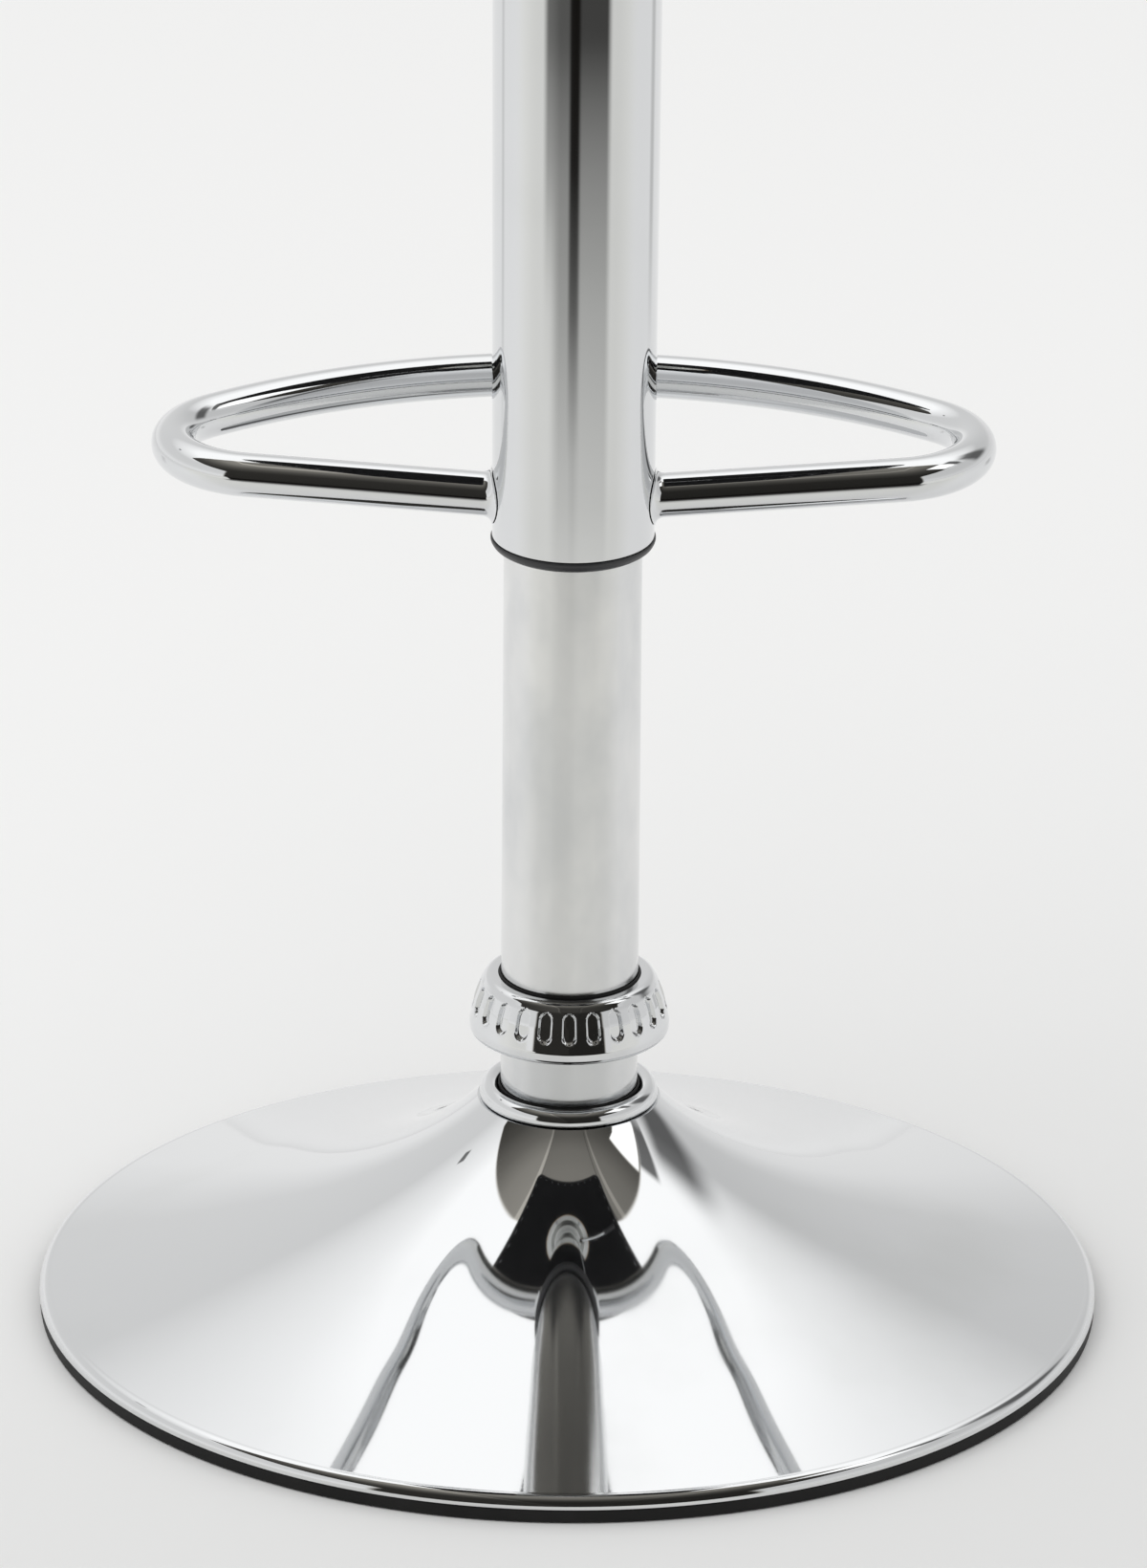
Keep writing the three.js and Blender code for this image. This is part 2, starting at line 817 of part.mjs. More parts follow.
// The grip: a blind sleeve over the rod's end with a round nose.
function leverGrip() {
  const inner = leverRadius + seatGap;
  const outer = leverRadius + gripWall;
  const noseLength = 4;
  return revolve([
    [inner, 0],
    [outer - 1, 0],
    [outer, 1.5],
    [outer, gripLength - noseLength],
    [outer * 0.8, gripLength - 1],
    [outer * 0.4, gripLength],
    [0, gripLength],
    [0, gripLength - noseLength],
    [inner, gripLength - noseLength],
  ], 16).rotateY(Math.PI / 2);
}

const skirtWall = 6;
const boardWidth = seatWidth - 2 * (skirtWall + seatGap);
const boardDepth = seatDepth - 2 * (skirtWall + seatGap);
const boardCorner = seatCornerRadius - skirtWall - seatGap;
const clothThickness = 1;
const clothHeight = boardHeight - seatGap - clothThickness;

function seatBoard() {
  const shape = roundedRectangle(boardWidth, boardDepth, boardCorner);
  shape.holes.push(...screwPlaces.map(([x, y]) => roundHole(x, y, screwFit)));
  return slab(shape, boardThickness, 4);
}

// The black cloth stapled under the board, open round the seat plate.
function dustCover() {
  const inset = 4;
  const openingMargin = 2;
  const shape = roundedRectangle(boardWidth - 2 * inset, boardDepth - 2 * inset, boardCorner - inset);
  const opening = bar(plateRadius + openingMargin, clothThickness + 2 * cutOverrun, columnFaces);
  return cut(slab(shape, clothThickness, 4), opening.translate(0, 0, -cutOverrun));
}

const screwHeadTall = 3.2;
const screwBite = 9;
const screwHeight = flangeHeight - panWall - seatGap - screwHeadTall;

function seatScrew() {
  const headRadius = screwRadius * 1.8;
  const shankTop = screwHeadTall + seatGap + panWall + seatGap + screwBite;
  return revolve([
    [0, 0],
    [headRadius * 0.7, 0],
    [headRadius, screwHeadTall * 0.5],
    [headRadius, screwHeadTall],
    [screwRadius, screwHeadTall],
    [screwRadius, shankTop - screwRadius],
    [0, shankTop],
  ], fastenerFaces);
}

// One ring of the cushion: a rounded rectangle drawn in by an inset, at a height.
function cushionRing(inset, height, cornerRadius = seatCornerRadius - inset) {
  const points = roundedRectangle(seatWidth - 2 * inset, seatDepth - 2 * inset, cornerRadius).getPoints(5);
  return points.map((point) => new THREE.Vector3(point.x, point.y, height));
}

// Joins rings with the same number of points into a closed surface, capped at both ends.
function loft(rings, footCentre, topCentre) {
  const count = rings[0].length;
  const points = [...rings.flat(), footCentre, topCentre];
  const [foot, top] = [points.length - 2, points.length - 1];
  const index = [];
  for (let k = 0; k < count; k += 1) {
    const next = (k + 1) % count;
    for (let level = 0; level < rings.length - 1; level += 1) {
      const [a, b] = [level * count + k, level * count + next];
      index.push(a, b, b + count, a, b + count, a + count);
    }
    const last = (rings.length - 1) * count;
    index.push(foot, next, k, top, last + k, last + next);
  }
  const geometry = new THREE.BufferGeometry().setFromPoints(points);
  geometry.setIndex(index);
  return geometry;
}

// The padded seat: a skirt round the board, a side that bulges between two seams and a crowned top.
function seatCushion() {
  const recessTop = boardHeight + boardThickness + seatGap;
  const skirtFoot = clothHeight;
  const side = seatTopHeight - skirtFoot;
  const seamInset = 2.6;
  const bulgeShares = [[0.04, 0.4], [0.1, 0], [0.24, 0.25], [0.3, 1], [0.36, 0.3], [0.52, 0], [0.66, 0.35]];
  const crownShares = [[0.02, 0.8], [0.06, 0.86], [0.12, 0.9], [0.25, 0.945], [0.45, 0.98], [0.7, 0.996]];
  const crownCorner = seatCornerRadius * 0.85;
  const crown = crownShares.map(([across, up]) => {
    return cushionRing(seatDepth / 2 * across, skirtFoot + side * up, crownCorner);
  });
  const rings = [
    cushionRing(skirtWall, recessTop),
    cushionRing(skirtWall, skirtFoot),
    cushionRing(seamInset, skirtFoot),
    ...bulgeShares.map(([up, inset]) => cushionRing(seamInset * inset, skirtFoot + side * up)),
    ...crown,
  ];
  return loft(rings, new THREE.Vector3(0, 0, recessTop), new THREE.Vector3(0, 0, seatTopHeight));
}

// Assembly

function addPiece(parent, name, geometry, finish, x = 0, y = 0, z = 0) {
  const closed = closeSurface(geometry);
  closed.computeVertexNormals();
  const mesh = new THREE.Mesh(closed, new THREE.MeshStandardMaterial(finishes[finish]));
  mesh.name = name;
  mesh.position.set(x, y, z);
  parent.add(mesh);
}

function standingPart() {
  const group = new THREE.Group();
  addPiece(group, 'trumpet_base', trumpetBase(), 'chrome');
  addPiece(group, 'rim_rubber', rimRubber(), 'rubber');
  addPiece(group, 'support_plate', supportPlate(), 'paintedSteel', 0, 0, plateHeight);
  addPiece(group, 'base_socket', baseSocket(), 'paintedSteel', 0, 0, plateHeight);
  addPiece(group, 'neck_ring', neckRing(), 'chrome', 0, 0, neckHeight + seatGap);
  addPiece(group, 'column_seal', columnSeal(), 'rubber', 0, 0, neckHeight + seatGap);
  addPiece(group, 'column_tube', columnTube(), 'satinChrome', 0, 0, columnFootHeight);
  addPiece(group, 'column_foot', columnFoot(), 'steel', 0, 0, footHeight);
  addPiece(group, 'stop_collar', stopCollar(), 'chrome', 0, 0, collarHeight);
  addPiece(group, 'collar_liner', collarLiner(), 'rubber', 0, 0, collarHeight);
  addPiece(group, 'guide_bush', guideBush(), 'palePlastic', 0, 0, columnTopHeight + seatGap);
  addPiece(group, 'lower_race', race(), 'steel', 0, 0, lowerRaceHeight);
  return group;
}

function turningPart() {
  const group = new THREE.Group();
  aroundCircle(ballCount, ballCircle).forEach(([x, y], i) => {
    addPiece(group, `bearing_ball_${i + 1}`, bearingBall(), 'steel', x, y, ballHeight);
  });
  addPiece(group, 'ball_cage', ballCage(), 'palePlastic', 0, 0, ballHeight);
  addPiece(group, 'upper_race', race(), 'steel', 0, 0, upperRaceHeight);
  addPiece(group, 'piston_rod', pistonRod(), 'steel', 0, 0, rodFootHeight);
  addPiece(group, 'piston_head', pistonHead(), 'steel', 0, 0, pistonHeight);
  addPiece(group, 'bump_stop', bumpStop(), 'rubber', 0, 0, shoulderHeight);
  addPiece(group, 'rod_washer', rodWasher(), 'steel', 0, 0, washerHeight);
  addPiece(group, 'rod_clip', rodClip(), 'steel', 0, 0, clipHeight);
  return group;
}

function risingPart() {
  const group = new THREE.Group();
  addPiece(group, 'gas_cylinder', gasCylinder(), 'steel', 0, 0, cylinderFootHeight);
  addPiece(group, 'cylinder_gland', cylinderGland(), 'blackPlastic', 0, 0, cylinderFootHeight + glandRise);
  addPiece(group, 'bell_tube', bellTube(), 'chrome', 0, 0, bellFootHeight);
  addPiece(group, 'bell_cap', bellCap(), 'steel', 0, 0, bellTopHeight - bellCapTall);
  addPiece(group, 'bell_ring', bellRing(), 'blackPlastic', 0, 0, bellFootHeight - bellRingTall);
  addPiece(group, 'footrest_loop', footrestLoop(), 'chrome', 0, 0, footrestHeight);
  addPiece(group, 'taper_socket', taperSocket(), 'zinc', 0, 0, taperSocketHeight);
  addPiece(group, 'seat_plate', seatPlate(), 'zinc', 0, 0, panHeight);
  addPiece(group, 'lever_bracket', leverBracket(), 'zinc', leverPivotX, 0, bracketHeight);
  addPiece(group, 'lever_pin', leverPin(), 'steel', leverPivotX, 0, leverHeight);
  screwPlaces.forEach(([x, y], i) => {
    addPiece(group, `seat_screw_${i + 1}`, seatScrew(), 'steel', x, y, screwHeight);
  });
  addPiece(group, 'dust_cover', dustCover(), 'cloth', 0, 0, clothHeight);
  addPiece(group, 'seat_board', seatBoard(), 'plywood', 0, 0, boardHeight);
  addPiece(group, 'seat_cushion', seatCushion(), 'vinyl');
  return group;
}

function leverPart() {
  const group = new THREE.Group();
  const gripStart = leverStretches.at(-1) - gripLength + gripWall + 1 + seatGap;
  group.position.set(leverPivotX, 0, leverHeight);
  addPiece(group, 'lever_rod', leverRod(), 'chrome');
  addPiece(group, 'lever_grip', leverGrip(), 'blackPlastic', gripStart, 0, -leverDrop);
  return group;
}

const stool = new THREE.Group();
stool.add(standingPart(), turningPart(), risingPart(), leverPart());
addPiece(stool, 'release_pin', releasePin(), 'steel', 0, 0, pinTopHeight - pinLength);

export default stool;
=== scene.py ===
"""A counter stool on a chromed trumpet base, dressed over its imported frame."""

import json
import math

import bmesh
import bpy
from mathutils import Matrix, Vector, noise
from mathutils.bvhtree import BVHTree


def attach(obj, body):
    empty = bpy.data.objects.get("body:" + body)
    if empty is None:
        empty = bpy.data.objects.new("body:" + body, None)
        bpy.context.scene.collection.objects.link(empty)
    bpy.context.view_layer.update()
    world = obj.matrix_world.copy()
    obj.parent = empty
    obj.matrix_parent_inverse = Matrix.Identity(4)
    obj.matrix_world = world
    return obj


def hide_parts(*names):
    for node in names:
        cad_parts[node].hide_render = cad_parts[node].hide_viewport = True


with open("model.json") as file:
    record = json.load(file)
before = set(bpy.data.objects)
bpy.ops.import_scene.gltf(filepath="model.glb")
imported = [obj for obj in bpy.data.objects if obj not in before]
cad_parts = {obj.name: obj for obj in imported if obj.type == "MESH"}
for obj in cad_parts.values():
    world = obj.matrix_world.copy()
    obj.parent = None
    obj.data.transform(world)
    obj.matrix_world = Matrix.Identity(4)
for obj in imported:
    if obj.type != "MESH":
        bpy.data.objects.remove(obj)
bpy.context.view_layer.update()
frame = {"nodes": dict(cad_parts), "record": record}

MM = 0.001

# The gap between fitted pieces in millimetres, the degrees in a radian and the bend that makes an edge sharp
SEAT_GAP = 0.3
DEGREES = math.degrees(1)
SHARP_ANGLE = 32

# Trumpet base, in millimetres
RIM_RADIUS = 194
RIM_ROLL = 4
SHOULDER_HEIGHT = 10.2
LIP_HEIGHT = 5.4
NECK_RADIUS = 33.4
NECK_HEIGHT = 82.4
NECK_HOLE = 28.6
NECK_SLOPE = math.radians(49.6)
NECK_REACH = 58.6
RIM_SLOPE = math.radians(15.2)
RIM_REACH = 84.9
FLARE_MIDDLE = (153.4, 25.5)
BASE_WALL = 1.5

# Column, collar and bell, with the gas cylinder and the socket above it
COLUMN_RADIUS = 25
COLUMN_BORE = 23
COLUMN_FOOT = 22
COLUMN_TOP = 500
COLLAR_FOOT = 109
COLLAR_TALL = 22
COLLAR_RADIUS = 36.5
COLLAR_BORE = 26.1
SLEEVE_BORE = 25.2
SLEEVE_RADIUS = 25.9
POCKETS = 24
BELL_FOOT = 302
BELL_TOP = 678
BELL_BORE = 27.8
BELL_RADIUS = 29.3
BELL_FLARE = 1.8
CYLINDER_RADIUS = 14
SOCKET_RADIUS = 18.3

# Footrest loop
LOOP_HEIGHT = 317
LOOP_TUBE = 8
LOOP_HALF_WIDTH = 145.5
LOOP_DEPTH = 124.3
LOOP_CORNER = 34
LOOP_SET_FORWARD = 5.5
LOOP_SWEEP = math.radians(11.1)
ARM_START = 14
ALONG_ARM = Vector((math.cos(LOOP_SWEEP), math.sin(LOOP_SWEEP), 0))
ACROSS_ARM = Vector((-math.sin(LOOP_SWEEP), math.cos(LOOP_SWEEP), 0))

# Seat and lever. OUTLINE_POINTS is how many points the seat's outline has
SEAT_WIDTH = 380
SEAT_DEPTH = 350
SEAT_CORNER = 32
SEAT_FOOT = 710.7
SEAT_TOP = 778
PIPED_SEAM = SEAT_FOOT + 0.3 * (SEAT_TOP - SEAT_FOOT)
TOP_SEAM = 760
OUTLINE_POINTS = 240
RECESS_TOP = 724.3
SKIRT_WALL = 6
PAN_HEIGHT = 692
FLANGE_TOP = 711.7
PLATE_RADIUS = 66
SCREW_CIRCLE = 60
LEVER_PIVOT = (26, 0, 705.5)
LEVER_RADIUS = 3.5
LEVER_DROP = 19.5


class Signal:
    """A socket in a node tree. Arithmetic on it adds Math nodes."""

    def __init__(self, graph, socket):
        self.graph = graph
        self.socket = socket

    def maths(self, operation, *others):
        inputs = dict(enumerate((self, *others)))
        return self.graph.add("ShaderNodeMath", {"operation": operation}, inputs)

    def __add__(self, other):
        return self.maths("ADD", other)

    __radd__ = __add__

    def __sub__(self, other):
        return self.maths("SUBTRACT", other)

    def __rsub__(self, other):
        return self.graph.add("ShaderNodeMath", {"operation": "SUBTRACT"}, {0: other, 1: self})

    def __mul__(self, other):
        return self.maths("MULTIPLY", other)

    __rmul__ = __mul__

    def __truediv__(self, other):
        return self.maths("DIVIDE", other)

    def __abs__(self):
        return self.maths("ABSOLUTE")

    def step(self, low, high, start=0.0, end=1.0):
        """Goes smoothly from start, below low, to end, above high."""
        settings = {"interpolation_type": "SMOOTHSTEP"}
        inputs = {"Value": self, "From Min": low, "From Max": high, "To Min": start, "To Max": end}
        return self.graph.add("ShaderNodeMapRange", settings, inputs)

    def between(self, low, high, blur):
        """1 between low and high, and 0 outside them."""
        return self.step(low - blur, low + blur) * self.step(high - blur, high + blur, 1.0, 0.0)


class Graph:
    """A node tree that grows by one method."""

    def __init__(self, tree):
        self.tree = tree

    def add(self, kind, settings=None, inputs=None, output=0):
        node = self.tree.nodes.new(kind)
        for name, value in (settings or {}).items():
            if name == "stops":
                self.set_stops(node.color_ramp, value)
            else:
                setattr(node, name, value)
        for name, value in (inputs or {}).items():
            if isinstance(value, Signal):
                self.tree.links.new(value.socket, node.inputs[name])
            else:
                node.inputs[name].default_value = value
        found = node.outputs[output] if len(node.outputs) else None
        return Signal(self, found)

    @staticmethod
    def set_stops(ramp, stops):
        while len(ramp.elements) < len(stops):
            ramp.elements.new(1.0)
        for element, (position, level) in zip(ramp.elements, stops):
            element.position = position
            element.color = (level, level, level, 1.0)

    def place(self, stretch=(1, 1, 1)):
        """The object's own coordinates, stretched along each axis."""
        coordinates = self.add("ShaderNodeTexCoord", output="Object")
        return self.add("ShaderNodeMapping", inputs={"Vector": coordinates, "Scale": stretch})

    def axes(self, vector):
        node = self.tree.nodes.new("ShaderNodeSeparateXYZ")
        self.tree.links.new(vector.socket, node.inputs[0])
        return [Signal(self, socket) for socket in node.outputs]

    def cloud(self, scale, detail=3.0, roughness=0.5, stretch=(1, 1, 1)):
        inputs = {"Vector": self.place(stretch), "Scale": scale, "Detail": detail, "Roughness": roughness}
        return self.add("ShaderNodeTexNoise", inputs=inputs)

    def cells(self, scale, feature="F1", randomness=1.0, stretch=(1, 1, 1)):
        inputs = {"Vector": self.place(stretch), "Scale": scale, "Randomness": randomness}
        return self.add("ShaderNodeTexVoronoi", {"feature": feature}, inputs)

    def ramp(self, value, low, high, stops):
        """A level by stops of a value between low and high."""
        reach = high - low
        stops = [((at - low) / reach, level) for at, level in stops]
        return self.add("ShaderNodeValToRGB", {"stops": stops}, {"Fac": (value - low) / reach})

    def tint(self, factor, low, high):
        """A colour from low to high."""
        low, high = (end if isinstance(end, Signal) else (*end, 1.0) for end in (low, high))
        return self.add("ShaderNodeMix", {"data_type": "RGBA"}, {0: factor, 6: low, 7: high}, output=2)

    def named(self, kind, inputs):
        return self.add(kind, inputs={name.replace("_", " "): value for name, value in inputs.items()})

    def surface(self, **inputs):
        return self.named("ShaderNodeBsdfPrincipled", inputs)

    def look(self, tone, low, high, rough, relief, depth, **more):
        """A surface coloured from low to high by its tone, with a relief of a depth in metres."""
        bump = self.add("ShaderNodeBump", inputs={"Height": relief, "Distance": depth, "Strength": 1.0})
        return self.surface(Base_Color=self.tint(tone, low, high), Roughness=rough, Normal=bump, **more)

    def geometry(self, kind, **inputs):
        return self.named("GeometryNode" + kind, inputs)


# Finishes


def make_finish(name, build):
    material = bpy.data.materials.new(name)
    material.use_nodes = True
    material.node_tree.nodes.clear()
    graph = Graph(material.node_tree)
    graph.add("ShaderNodeOutputMaterial", inputs={"Surface": build(graph)})
    return material


def chrome(graph):
    """Bright plate: a mirror with faint waviness and wiped smudges."""
    smudge = graph.cloud(11, 4).step(0.5, 0.8)
    return graph.look(
        smudge, (0.70, 0.71, 0.72), (0.66, 0.67, 0.675), rough=0.035 + 0.045 * smudge,
        relief=graph.cloud(16, 1), depth=0.00002, Metallic=1.0,
    )


def satin_chrome(graph):
    """The lower column: thin satin plate, blotched and a little greasy."""
    blotch = graph.cloud(22, 5, 0.6, stretch=(1, 1, 0.6))
    streak = graph.cloud(1, 3, stretch=(150, 150, 5))
    grease = graph.cloud(9, 3, stretch=(1, 1, 0.5)).step(0.5, 0.72)
    level = blotch.step(0.3, 0.72) * 0.75 + streak * 0.25
    return graph.look(
        level, (0.60, 0.612, 0.62), (0.80, 0.80, 0.79), rough=0.15 + 0.1 * blotch - 0.04 * grease,
        relief=streak + blotch, depth=0.00002, Metallic=1.0,
    )


def zinc(graph):
    """Passivated zinc: pale flakes of crystal, dulled by handling."""
    flake, dull = graph.cells(240), graph.cloud(30, 4)
    return graph.look(
        flake * 0.6 + dull * 0.4, (0.55, 0.56, 0.55), (0.74, 0.75, 0.73), rough=0.28 + 0.22 * dull,
        relief=flake, depth=0.00003, Metallic=1.0,
    )


def steel(graph):
    """Turned steel with machining lines and a thin film of oil."""
    line, film = graph.cloud(1, 2, stretch=(40, 40, 1800)), graph.cloud(60, 3)
    return graph.look(
        film, (0.38, 0.38, 0.39), (0.58, 0.59, 0.6), rough=0.24 + 0.2 * line,
        relief=line, depth=0.00003, Metallic=1.0,
    )


def painted_steel(graph):
    """Black powder paint with its orange peel, greyed by dust."""
    dust = graph.cloud(24, 4).step(0.5, 0.8)
    return graph.look(
        dust, (0.026, 0.026, 0.028), (0.055, 0.054, 0.052), rough=0.4 + 0.2 * dust,
        relief=graph.cloud(420, 2), depth=0.00006,
    )


def rubber(graph):
    """Moulded rubber, matte, greyed where it is handled."""
    bloom = graph.cloud(35, 4).step(0.45, 0.8)
    return graph.look(
        bloom, (0.006, 0.006, 0.006), (0.016, 0.0155, 0.015), rough=0.55 + 0.2 * bloom,
        relief=graph.cloud(900, 2), depth=0.00004, Specular_IOR_Level=0.25,
    )


def black_plastic(graph):
    """Moulded plastic with a fine spark texture."""
    wipe = graph.cloud(60, 3)
    return graph.look(
        wipe, (0.016, 0.016, 0.018), (0.032, 0.032, 0.034), rough=0.34 + 0.18 * wipe,
        relief=graph.cells(1500), depth=0.00003,
    )


def pale_plastic(graph):
    """Unpainted acetal, waxy and a little stained by oil."""
    stain, grain = graph.cloud(45, 4).step(0.4, 0.8), graph.cloud(700, 2)
    return graph.look(
        stain, (0.72, 0.70, 0.64), (0.55, 0.51, 0.42), rough=0.42 + 0.12 * grain,
        relief=grain, depth=0.00002,
    )


def plywood(graph):
    """Birch ply: long grain on its faces and stacked layers on its edges."""
    grain = graph.cloud(1, 5, 0.65, stretch=(6, 90, 90))
    height = graph.axes(graph.place())[2]
    layer = (height * 3140).maths("SINE").step(-0.3, 0.3)
    return graph.look(
        grain * 0.7 + layer * 0.3, (0.36, 0.23, 0.12), (0.66, 0.49, 0.3), rough=0.58 + 0.2 * grain,
        relief=grain, depth=0.0001,
    )


def cloth(graph):
    """Spun dust cloth: loose fibres pressed at a grid of small points."""
    point = graph.cells(1, randomness=0.0, stretch=(420, 420, 0)).step(0.16, 0.3)
    fibre = graph.cloud(1300, 4, 0.7, stretch=(1, 1, 0))
    tone = fibre * 0.6 + graph.cloud(18, 3) * 0.4
    return graph.look(
        tone, (0.004, 0.004, 0.0045), (0.015, 0.015, 0.016), rough=0.86 + 0.1 * fibre,
        relief=point + fibre * 0.5, depth=0.00012, Specular_IOR_Level=0.2,
    )


def vinyl(graph):
    """Coated fabric: a pebbled grain, shinier on the high places that are sat on."""
    pebble = graph.cells(620, "DISTANCE_TO_EDGE").step(0.0, 0.16)
    pore = graph.cloud(1900, 2)
    shine = graph.cloud(13, 4).step(0.38, 0.75)
    tone = graph.cloud(90, 2) * 0.5 + shine * 0.5
    return graph.look(
        tone, (0.015, 0.015, 0.016), (0.032, 0.031, 0.032), rough=0.5 - 0.12 * shine + 0.08 * pore,
        relief=pebble + pore * 0.3, depth=0.00009, Specular_IOR_Level=0.45,
    )


def thread(graph):
    """Twisted black thread."""
    twist = graph.cloud(2600, 2)
    return graph.look(
        twist, (0.012, 0.012, 0.013), (0.05, 0.05, 0.052), rough=0.6 + 0.2 * twist,
        relief=twist, depth=0.0001,
    )


FINISHES = {build.__name__: make_finish(build.__name__, build) for build in (
    chrome, satin_chrome, zinc, steel, painted_steel, rubber,
    black_plastic, pale_plastic, plywood, cloth, vinyl, thread,
)}


# Mesh helpers


def add_object(name, data):
    piece = bpy.data.objects.new(name, data)
    bpy.context.scene.collection.objects.link(piece)
    return piece


def polar(radius, angle, height=0):
    """A point by its distance from the column's axis, its angle and its height."""
    return Vector((radius * math.cos(angle), radius * math.sin(angle), height))


def moved(x, y, z):
    """A move given in millimetres."""
    return Matrix.Translation((x * MM, y * MM, z * MM))


def smooth(bm, sharp):
    """Makes every face smooth, and sharpens the edges that bend by more than so many degrees."""
    for face in bm.faces:
        face.smooth = True
    for edge in bm.edges:
        edge.smooth = edge.calc_face_angle(0) < math.radians(sharp)


def settle(name, bm, finish, sharp=SHARP_ANGLE, recalculate=True):
    """Turns a mesh in the making into an object with smooth faces and sharp corners."""
    if recalculate:
        bmesh.ops.recalc_face_normals(bm, faces=bm.faces)
    smooth(bm, sharp)
    mesh = bpy.data.meshes.new(name)
    bm.to_mesh(mesh)
    bm.free()
    mesh.materials.append(FINISHES[finish])
    return add_object(name, mesh)


def soften(profile, radius, steps=3, closed=True):
    """Rounds the corners of an outline."""
    points = [Vector(point) for point in profile]
    rounded = []
    for i, corner in enumerate(points):
        if not closed and i in (0, len(points) - 1):
            rounded.append(corner)
            continue
        before, after = points[i - 1] - corner, points[(i + 1) % len(points)] - corner
        reach = min(radius, before.length * 0.45, after.length * 0.45)
        bend = math.pi - before.angle(after)
        if bend < 0.3 or reach < 0.01 or corner.x < 0.01:
            rounded.append(corner)
            continue
        start, end = corner + before.normalized() * reach, corner + after.normalized() * reach
        for k in range(steps + 1):
            t = k / steps
            rounded.append(start * (1 - t) ** 2 + corner * 2 * t * (1 - t) + end * t ** 2)
    return rounded


def brace(profile):
    """Adds a point close to each end of a long straight stretch, so that its shading stays straight."""
    points = [Vector(point) for point in profile]
    braced = []
    for point, following in zip(points, points[1:] + points[:1]):
        braced.append(point)
        length = (following - point).length
        if length > 3:
            braced += [point.lerp(following, 0.2 / length), following.lerp(point, 0.2 / length)]
    return braced


def skin(bm, rows):
    """Joins each row of corners to the next. Corners that coincide are taken once."""
    for near, far in zip(rows, rows[1:]):
        for k in range(len(near)):
            n = (k + 1) % len(near)
            corners = list(dict.fromkeys([near[k], near[n], far[n], far[k]]))
            if len(corners) > 2:
                bm.faces.new(corners)


def turn_rings(profile, turns):
    """A closed outline of radius and height in millimetres, turned about the column's axis."""
    bm = bmesh.new()
    angles = [math.tau * k / turns for k in range(turns)]
    rows = []
    for radius, height in profile:
        if radius < 1e-6:
            rows.append([bm.verts.new((0, 0, height * MM))] * turns)
        else:
            rows.append([bm.verts.new(polar(radius * MM, a, height * MM)) for a in angles])
    skin(bm, rows + rows[:1])
    return bm


def lathe(name, profile, finish, turns=96, matrix=None):
    bm = turn_rings(brace(profile), turns)
    if matrix:
        bmesh.ops.transform(bm, matrix=matrix, verts=bm.verts)
    return settle(name, bm, finish)


def in_place(piece, body, slot, *nodes):
    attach(piece, body)
    if nodes:
        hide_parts(*nodes)
    return piece


def carve(piece, cutter, operation="DIFFERENCE"):
    """Cuts one mesh by another, or joins them, and keeps a plain mesh."""
    modifier = piece.modifiers.new("carve", "BOOLEAN")
    modifier.operation = operation
    modifier.solver = "EXACT"
    modifier.object = cutter
    plain_mesh(piece)
    bpy.data.objects.remove(cutter)
    bm = bmesh.new()
    bm.from_mesh(piece.data)
    smooth(bm, SHARP_ANGLE)
    bm.to_mesh(piece.data)
    bm.free()


def plain_mesh(piece):
    """Puts the result of a piece's modifiers into its mesh."""
    depsgraph = bpy.context.evaluated_depsgraph_get()
    result = bpy.data.meshes.new_from_object(piece.evaluated_get(depsgraph), depsgraph=depsgraph)
    piece.modifiers.clear()
    piece.data = result


def take_mesh(piece):
    """Takes an object's mesh for more work, and removes the object."""
    bm = bmesh.new()
    bm.from_mesh(piece.data)
    bpy.data.objects.remove(piece)
    return bm


# Geometry node trees


def new_tree(name, inputs):
    """A geometry tree with a geometry socket each way and the named inputs."""
    tree = bpy.data.node_groups.new(name, "GeometryNodeTree")
    tree.interface.new_socket("Geometry", in_out="INPUT", socket_type="NodeSocketGeometry")
    for label, kind in inputs:
        tree.interface.new_socket(label, in_out="INPUT", socket_type="NodeSocket" + kind)
    tree.interface.new_socket("Geometry", in_out="OUTPUT", socket_type="NodeSocketGeometry")
    graph = Graph(tree)
    source = tree.nodes.new("NodeGroupInput")
    labels = ["Geometry"] + [label for label, _ in inputs]
    return graph, {label: Signal(graph, source.outputs[label]) for label in labels}


def finish_tree(graph, geometry, material):
    realized = graph.geometry("RealizeInstances", Geometry=geometry)
    painted = graph.geometry("SetMaterial", Geometry=realized, Material=material)
    graph.add("NodeGroupOutput", inputs={"Geometry": painted})
    return graph.tree


def swept_bar_tree():
    """A round bar along a path of edges."""
    sizes = [("Bar Radius", "Float"), ("Sides", "Int"), ("Finish", "Material")]
    graph, given = new_tree("swept bar", sizes)
    path = graph.geometry("MeshToCurve", Mesh=given["Geometry"])
    ring = graph.geometry("CurvePrimitiveCircle", Resolution=given["Sides"], Radius=given["Bar Radius"])
    bar = graph.geometry("CurveToMesh", Curve=path, Profile_Curve=ring)
    return finish_tree(graph, bar, given["Finish"])


def turned_copies_tree():
    """Copies of a shape turned about the column's axis at even angles."""
    sizes = [("Copies", "Int"), ("Weld", "Float"), ("Finish", "Material")]
    graph, given = new_tree("turned copies", sizes)
    points = graph.geometry("Points", Count=given["Copies"])
    angle = graph.geometry("InputIndex") * math.tau / given["Copies"]
    turn = graph.add("ShaderNodeCombineXYZ", inputs={"Z": angle})
    copies = graph.geometry("InstanceOnPoints", Points=points, Instance=given["Geometry"], Rotation=turn)
    whole = graph.geometry("RealizeInstances", Geometry=copies)
    welded = graph.geometry("MergeByDistance", Geometry=whole, Distance=given["Weld"])
    return finish_tree(graph, welded, given["Finish"])


